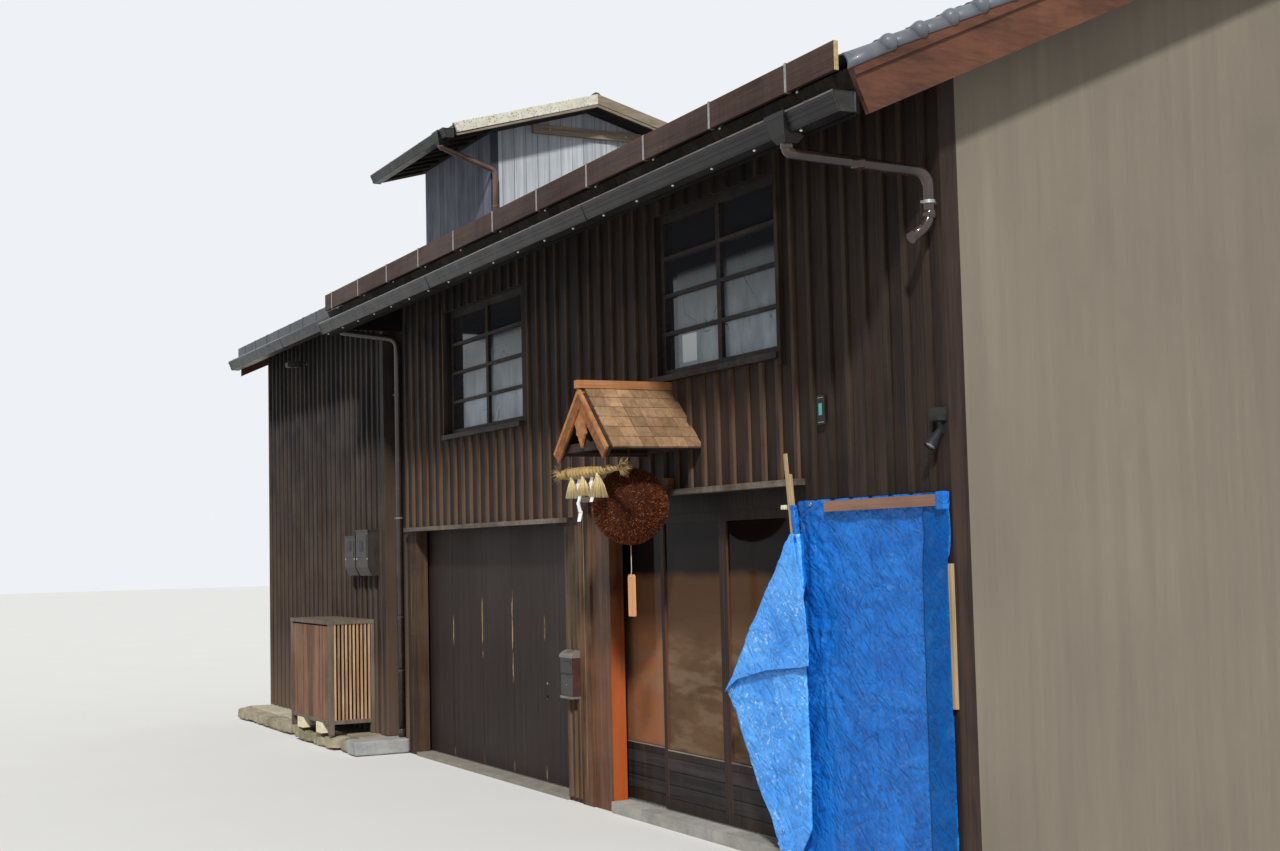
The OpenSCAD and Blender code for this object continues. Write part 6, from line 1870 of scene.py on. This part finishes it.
def makeRaisedTimbers():
    r = raised
    mid, e = house.ridge, r.edge
    bm = bmesh.new()
    cut = 0.14 * r.slope / (1 + r.slope ** 2)
    for x in (r.right, r.leftBoard):
        for flip in (False, True):
            at = (lambda y: 2 * mid - y) if flip else (lambda y: y)
            for up, down, mat, inset in ((0.02, 0.088, 0, 0.0), (-0.092, 0.12, 1, 0.004)):
                outline = [(at(e + (0 if mat == 0 else cut * 0.8)), raisedTop(e) + up),
                    (at(e + cut), raisedTop(e + cut) - down), (at(mid), raisedTop(mid) - down),
                    (at(mid), raisedTop(mid) + up)]
                prismInto(bm, outline, "x", x + inset, x + r.board - inset, 1 if flip else mat)
    reach = (r.top - 0.12 - r.tieTop) / r.slope
    for x0, x1 in ((-3.965, -3.92), (-6.015, -5.97)):
        boxInto(bm, (x0, mid - reach, r.tieLow), (x1, mid + reach, r.tieTop), 1)
        face, way = (x1, 1) if x0 > -5 else (x0, -1)
        for dy in (-0.45, 0.45):
            turnInto(bm, [(0.0, 0.005), (0.009, 0.004), (0.011, 0.0)], (face, mid + dy, 6.172), (way, 0, 0),
                sides=12, mat=2)
    finishPiece("raised_timbers", bm, ["lichen", "tieWood", "steel"], "lichen_board",
        replaced="raised_roof_timbers", bevel=0.002)


fascia = named({"left": -6.088, "right": -1.852, "joints": 9, "firstJoint": -5.79, "pitch": 0.455})


def makeLeftFascia():
    f = fascia
    # Folded metal over the left eave board, in lengths with turned joints
    bm = bmesh.new()
    shape = [(-0.4105, 3.851), (-0.4125, 3.85), (-0.4175, 3.842), (-0.419, 3.843), (-0.414, 3.853),
        (-0.4135, 3.9855), (-0.383, 3.9875), (-0.383, 3.9852), (-0.4105, 3.9838)]
    prismInto(bm, shape, "x", f.left, f.right)
    for k in range(f.joints):
        x = f.firstJoint + k * f.pitch
        boxInto(bm, (x - 0.011, -0.4165, 3.845), (x + 0.011, -0.413, 3.9865))
    finishPiece("left_eave_cover", bm, ["darkMetal"], "black_metal")


makeRaisedRoof()
makeRaisedTimbers()
makeLeftFascia()
print("raised roof made")


# Blue sheet: one cloth hung behind its battens, its left part folded forward and back as a pointed flap

sheet = named({
    "top": 1.935, "low": 0.078, "lowRight": 0.055, "right": 5.967, "notch": 5.945, "strip": 0.19,
    "row": 0.0145, "foldTop": 1.765, "foldLow": 0.89,
    # edges as (height, x): the sheet's left edge, the flap's outline, its inner fold and its free edge
    "left": [(1.935, 4.648), (1.734, 4.668), (1.545, 4.693), (1.3, 4.7), (0.078, 4.7)],
    "silhouette": [(1.765, 4.722), (1.61, 4.584), (1.458, 4.453), (1.341, 4.347), (1.209, 4.238),
        (1.035, 4.112), (0.89, 3.986), (0.783, 4.058), (0.537, 4.201), (0.358, 4.317), (0.233, 4.422),
        (0.078, 4.5)],
    "pleat": [(1.765, 4.745), (1.55, 4.768), (1.3, 4.786), (1.057, 4.791), (0.513, 4.808), (0.235, 4.8),
        (0.114, 4.706), (0.078, 4.69)],
    "free": [(1.765, 4.742), (1.561, 4.801), (1.402, 4.838), (1.207, 4.865), (1.074, 4.877), (1.03, 4.44),
        (0.965, 4.12), (0.89, 3.992)],
    "hem": [(4.877, 1.074), (4.44, 1.03), (4.12, 0.965), (3.986, 0.89)],
    "layers": {"strip": -0.0265, "main": -0.0125, "pleat": -0.046, "back": -0.092, "front": -0.1115},
    "pins": [(5.95, 1.93), (4.72, 1.93), (4.74, 1.75), (4.84, 1.06)],
    "groups": [("strip", 13), ("turn", 3), ("main", 86), ("turn", 4), ("pleat", 9), ("turn", 4),
        ("back", 50), ("turn", 3), ("front", 50)],
    # how near to the wall and how far out each layer may come, and how far out it stays over the edge batten
    "limits": {"strip": (-1.0, -0.0228), "main": (-0.0215, -0.0012), "back": (-0.0985, -0.0835),
               "front": (-0.1222, -0.1005)},
    "overBatten": -0.0212,
    "flat": (2.7, 1.88), "seed": 4.7,
})


def readOff(table, z):
    # A value from a table of pairs whose first number falls
    for (z0, a), (z1, b) in zip(table, table[1:]):
        if z >= z1:
            return a + (b - a) * min(max((z0 - z) / (z0 - z1), 0.0), 1.0)
    return table[-1][1]


def crumple(x, z, seed):
    # Folds drawn from the held corners, sharp crinkles, and the grid of creases from storage
    p = Vector((x, z, seed))
    value = 0.45 * noise.noise(p * 2.6)
    for scale, size in ((5.0, 0.5), (11.0, 0.34), (24.0, 0.17)):
        value += size * (0.45 - 1.8 * abs(noise.noise(p * scale + Vector((seed, 0, 0)))))
    for cx, cz in sheet.pins:
        reach = math.hypot(x - cx, z - cz)
        angle = math.atan2(z - cz, x - cx)
        ray = math.sin(angle * 15 + 4 * noise.noise(p * 1.7))
        value += 0.65 * ray * math.exp(-reach / 0.45) * min(reach / 0.07, 1)
    for at, first, step in ((x, 4.9, 0.424), (z, 1.62, 0.372)):
        away = abs((at - first + step / 2) % step - step / 2)
        value += 0.55 * math.exp(-away / 0.01) * (1 if int((at - first) / step + 9) % 2 else -1)
    return max(-1.3, min(1.3, value))


def sheetPoint(group, s, z, share):
    # Place of one point of the cloth before its wrinkles: group of columns, share along it, and height
    c = sheet
    drawn = min(max((1.74 - z) / 0.16, 0), 1)
    right = c.right - (c.right - c.notch) * drawn * drawn * (3 - 2 * drawn)
    y = dict(c.layers, pleat=-0.077 + 0.031 * min(max((z - 1.42) / 0.1, 0), 1))
    edgeX, pleatX, leftX, freeX = (readOff(edge, z) for edge in (c.left, c.pleat, c.silhouette, c.free))
    ends = {"strip": (right - c.strip, right, "strip"), "main": (right, edgeX, "main"),
        "pleat": (edgeX, pleatX, "pleat"), "back": (pleatX, leftX, "back"),
        "front": (leftX, max(freeX, leftX + 0.002), "front")}
    if group != "turn":
        x0, x1, layer = ends[group]
        return Vector((x0 + (x1 - x0) * share, y[layer], z))
    turns = {1: (right, 1, "strip", "main", 0.003), 3: (edgeX, -1, "main", "pleat", 0.014),
        5: (pleatX, 1, "pleat", "back", 0.018), 7: (leftX, -1, "back", "front", 0.008)}
    x, way, a, b, bulge = turns[s]
    bulge = min(bulge, 0.45 * abs(y[a] - y[b]))
    return Vector((x + way * bulge * math.sin(math.pi * share),
        y[a] + (y[b] - y[a]) * (1 - math.cos(math.pi * share)) / 2, z))


def makeSheet():
    c = sheet
    rows = round((c.top - c.low) / c.row)
    flapTop, flapLow = c.foldTop + 0.5 * c.row, c.foldLow - 0.5 * c.row
    bm = bmesh.new()
    grid = []
    for j in range(rows + 1):
        v = j / rows
        line = []
        for index, (group, count) in enumerate(c.groups):
            for k in range(count + (1 if index == 0 else 0)):
                share = (k if index == 0 else k + 1) / (count + (group == "turn"))
                z = c.top + (c.low - c.top) * v
                spot = sheetPoint(group, index, z, share)
                if index <= 2:
                    low = c.lowRight if spot.x > 5.17 else c.low
                    spot.z = c.top + (low - c.top) * v
                if (index > 2 and spot.z > flapTop) or (index >= 7 and spot.z < flapLow):
                    line.append(None)
                    continue
                field = crumple(spot.x, spot.z, c.seed)
                depth = 0.0105 if index <= 2 else 0.0085
                held = min(1.0, abs(spot.z - 1.898) / 0.06) if index <= 2 else 1.0
                lift = depth * field * (0.25 + 0.75 * held)
                if group == "strip":
                    lift = depth * 0.6 * field * held - 0.003 * held + 0.003
                if index in (1, 3, 4, 5):
                    lift *= 0.45
                if group == "front":
                    above = spot.z - readOff(c.hem, spot.x)
                    lift = (0.0062 * (0.7 * field + 0.5 * crumple(spot.x + 3, spot.z, 9.1))
                        - 0.007 * math.exp(-max(above, 0) / 0.03))
                inner, outer = c.limits.get(group, (-1.0, 1.0))
                spot.y = min(max(spot.y + lift, inner), outer)
                if index <= 2 and spot.x > 5.9 and 0.9 < spot.z < 1.63:
                    spot.y = min(spot.y, c.overBatten)
                spot.z += 0.0035 * noise.noise(Vector((spot.x * 9, spot.z * 9, 5.5))) * (1 if 0 < j < rows
                    else 0.4)
                if j == rows:
                    spot.z += 0.006 * (0.5 + noise.noise(Vector((spot.x * 7, 1.3, 2.2))))
                line.append(bm.verts.new(spot))
        grid.append(line)
    for a, b in zip(grid, grid[1:]):
        for k in range(len(a) - 1):
            ring = [a[k], b[k], b[k + 1], a[k + 1]]
            if all(ring):
                bm.faces.new(ring).smooth = True
    loose = [v for v in bm.verts if not v.link_faces]
    bmesh.ops.delete(bm, geom=loose, context="VERTS")
    for face in bm.faces:
        at = face.calc_center_median()
        # flap faces take the painted-sunlight copy, faces just under its hem the painted-shadow copy
        face.material_index = 1 if at.y < -0.0805 else (2 if at.y < -0.0205 and at.x > 5.7 else 0)
        if at.y < -0.0995 and at.z < readOff(c.hem, at.x) + 0.004:
            face.material_index = 3
    cloth = finishPiece("blue_sheet", bm, ["blueSheet", "blueFlapSunlit", "blueStrip", "blueHemShadow"], "blue_sheet",
        replaced="tarp")
    thick = cloth.modifiers.new("thickness", "SOLIDIFY")
    thick.thickness, thick.offset = 0.0009, 0.0
    eyelets = bmesh.new()
    for x, y, z in ((4.069, -0.119, 0.905), (4.532, -0.0945, 0.19), (4.78, -0.0195, 1.915),
            (5.74, -0.0285, 0.12)):
        turnInto(eyelets, [(0.0062, 0.0), (0.0066, 0.0022), (0.01, 0.0025), (0.0122, 0.0008),
            (0.0122, -0.0012), (0.0062, -0.0012)], (x, y, z), (0, -1, 0), sides=20)
        turnInto(eyelets, [(0.0, 0.0004), (0.0063, 0.0004), (0.0063, -0.0008)], (x, y, z), (0, -1, 0),
            sides=20, mat=1)
    rings = finishPiece("sheet_eyelets", eyelets, ["steel", "holeDark"], "blue_sheet")
    hem = bmesh.new()
    softBlock(hem, (5.902, -0.05, 1.85), (5.972, -0.018, 1.938), 0.007, 0.003, 8, seed=3.0, grain=30.0)
    start = len(hem.verts)
    softBlock(hem, (4.7, -0.09, 1.7), (4.746, -0.056, 1.915), 0.008, 0.006, 12, seed=8.0, grain=24.0)
    hem.verts.ensure_lookup_table()
    for v in hem.verts[start:]:
        v.co.x -= 0.14 * (v.co.z - 1.76)  # leans with the batten that it wraps
    finishPiece("sheet_corner", hem, ["blueSheet"], "blue_sheet")


def makeSheetBattens():
    # The batten over the sheet, the leaning pair that carries its fold, and the one at its edge
    bm = bmesh.new()
    boxInto(bm, (4.95, -0.0446, 1.87), (5.965, -0.0246, 1.925), 1)
    boxInto(bm, (5.915, -0.02, 0.93), (5.97, 0.0, 1.6))
    lean = math.radians(7)
    for x0, x1, y0, y1, long in ((-0.021, 0.002, -0.082, -0.068, 0.65), (-0.002, 0.021, -0.078, -0.062,
            0.535)):
        verts = boxInto(bm, (x0, y0, 0.0), (x1, y1, long))
        for v in verts:
            a, c = v.co.x, v.co.z
            v.co = Vector((4.725 + a * math.cos(lean) - c * math.sin(lean), v.co.y,
                1.545 + a * math.sin(lean) + c * math.cos(lean)))
    finishPiece("sheet_battens", bm, ["paleBatten", "orangeBatten"], "weathered_board",
        replaced="tarp_battens", bevel=0.0012)


makeSheetBattens()
makeSheet()
print("blue sheet made")


# Camera, light and floor

def makeCamera():
    v = view
    turn, rise, roll = map(math.radians, (v.turn, v.rise, v.roll))
    ahead = Vector((-math.sin(turn) * math.cos(rise), math.cos(turn) * math.cos(rise), math.sin(rise)))
    right = Vector((math.cos(turn), math.sin(turn), 0.0))
    up = right.cross(ahead)
    tiltRight = math.cos(roll) * right + math.sin(roll) * up
    tiltUp = -math.sin(roll) * right + math.cos(roll) * up
    data = bpy.data.cameras.new("streetCamera")
    data.lens, data.sensor_width, data.sensor_fit = v.lens, v.sensor, "HORIZONTAL"
    data.clip_end = 300.0
    camera = added("streetCamera", data)
    axes = Matrix((tiltRight, tiltUp, -ahead)).transposed().to_4x4()
    camera.matrix_world = Matrix.Translation(v.eye) @ axes
    bpy.context.scene.camera = camera


def makeLight():
    data = bpy.data.lights.new("sun", "SUN")
    data.energy, data.angle = light.sunStrength, math.radians(light.sunAngle)
    sun = added("sun", data)
    sun.rotation_euler = Vector(light.sunToward).to_track_quat("-Z", "Y").to_euler()
    world = bpy.data.worlds.new("studio")
    bpy.context.scene.world = world
    world.use_nodes = True
    tree = world.node_tree
    back = next(n for n in tree.nodes if n.type == "BACKGROUND")
    path = place(tree, "ShaderNodeLightPath").outputs
    seen = calc(tree, "MAXIMUM", path["Is Camera Ray"], calc(tree, "MAXIMUM", path["Is Glossy Ray"],
        path["Is Transmission Ray"]))
    shade = mix(tree, seen, light.skyColour, light.backdrop)
    tree.links.new(shade, back.inputs["Color"])
    tree.links.new(span(tree, seen, 0.0, 1.0, light.skyStrength, 1.0), back.inputs["Strength"])


def makeFloor():
    tree, shader, spot = startMaterial("floorPaint")
    cloud = noiseOf(tree, spot, 0.8, 3.0)
    shade = mix(tree, cloud, light.floorColour, "#dedcd7")
    wire(tree, shader, shade, span(tree, cloud, 0.0, 1.0, 0.85, 0.95))
    half, z = light.floorHalf, -0.001
    bm = bmesh.new()
    bm.faces.new(corner(bm, [(-half, -half, z), (half, -half, z), (half, half, z), (-half, half, z)]))
    added("studio_floor", meshFrom("studio_floor", bm, "floorPaint"))


for part in templates:
    bpy.data.objects.remove(part)
makeCamera()
makeLight()
makeFloor()

bpy.context.scene.view_settings.view_transform = "Standard"
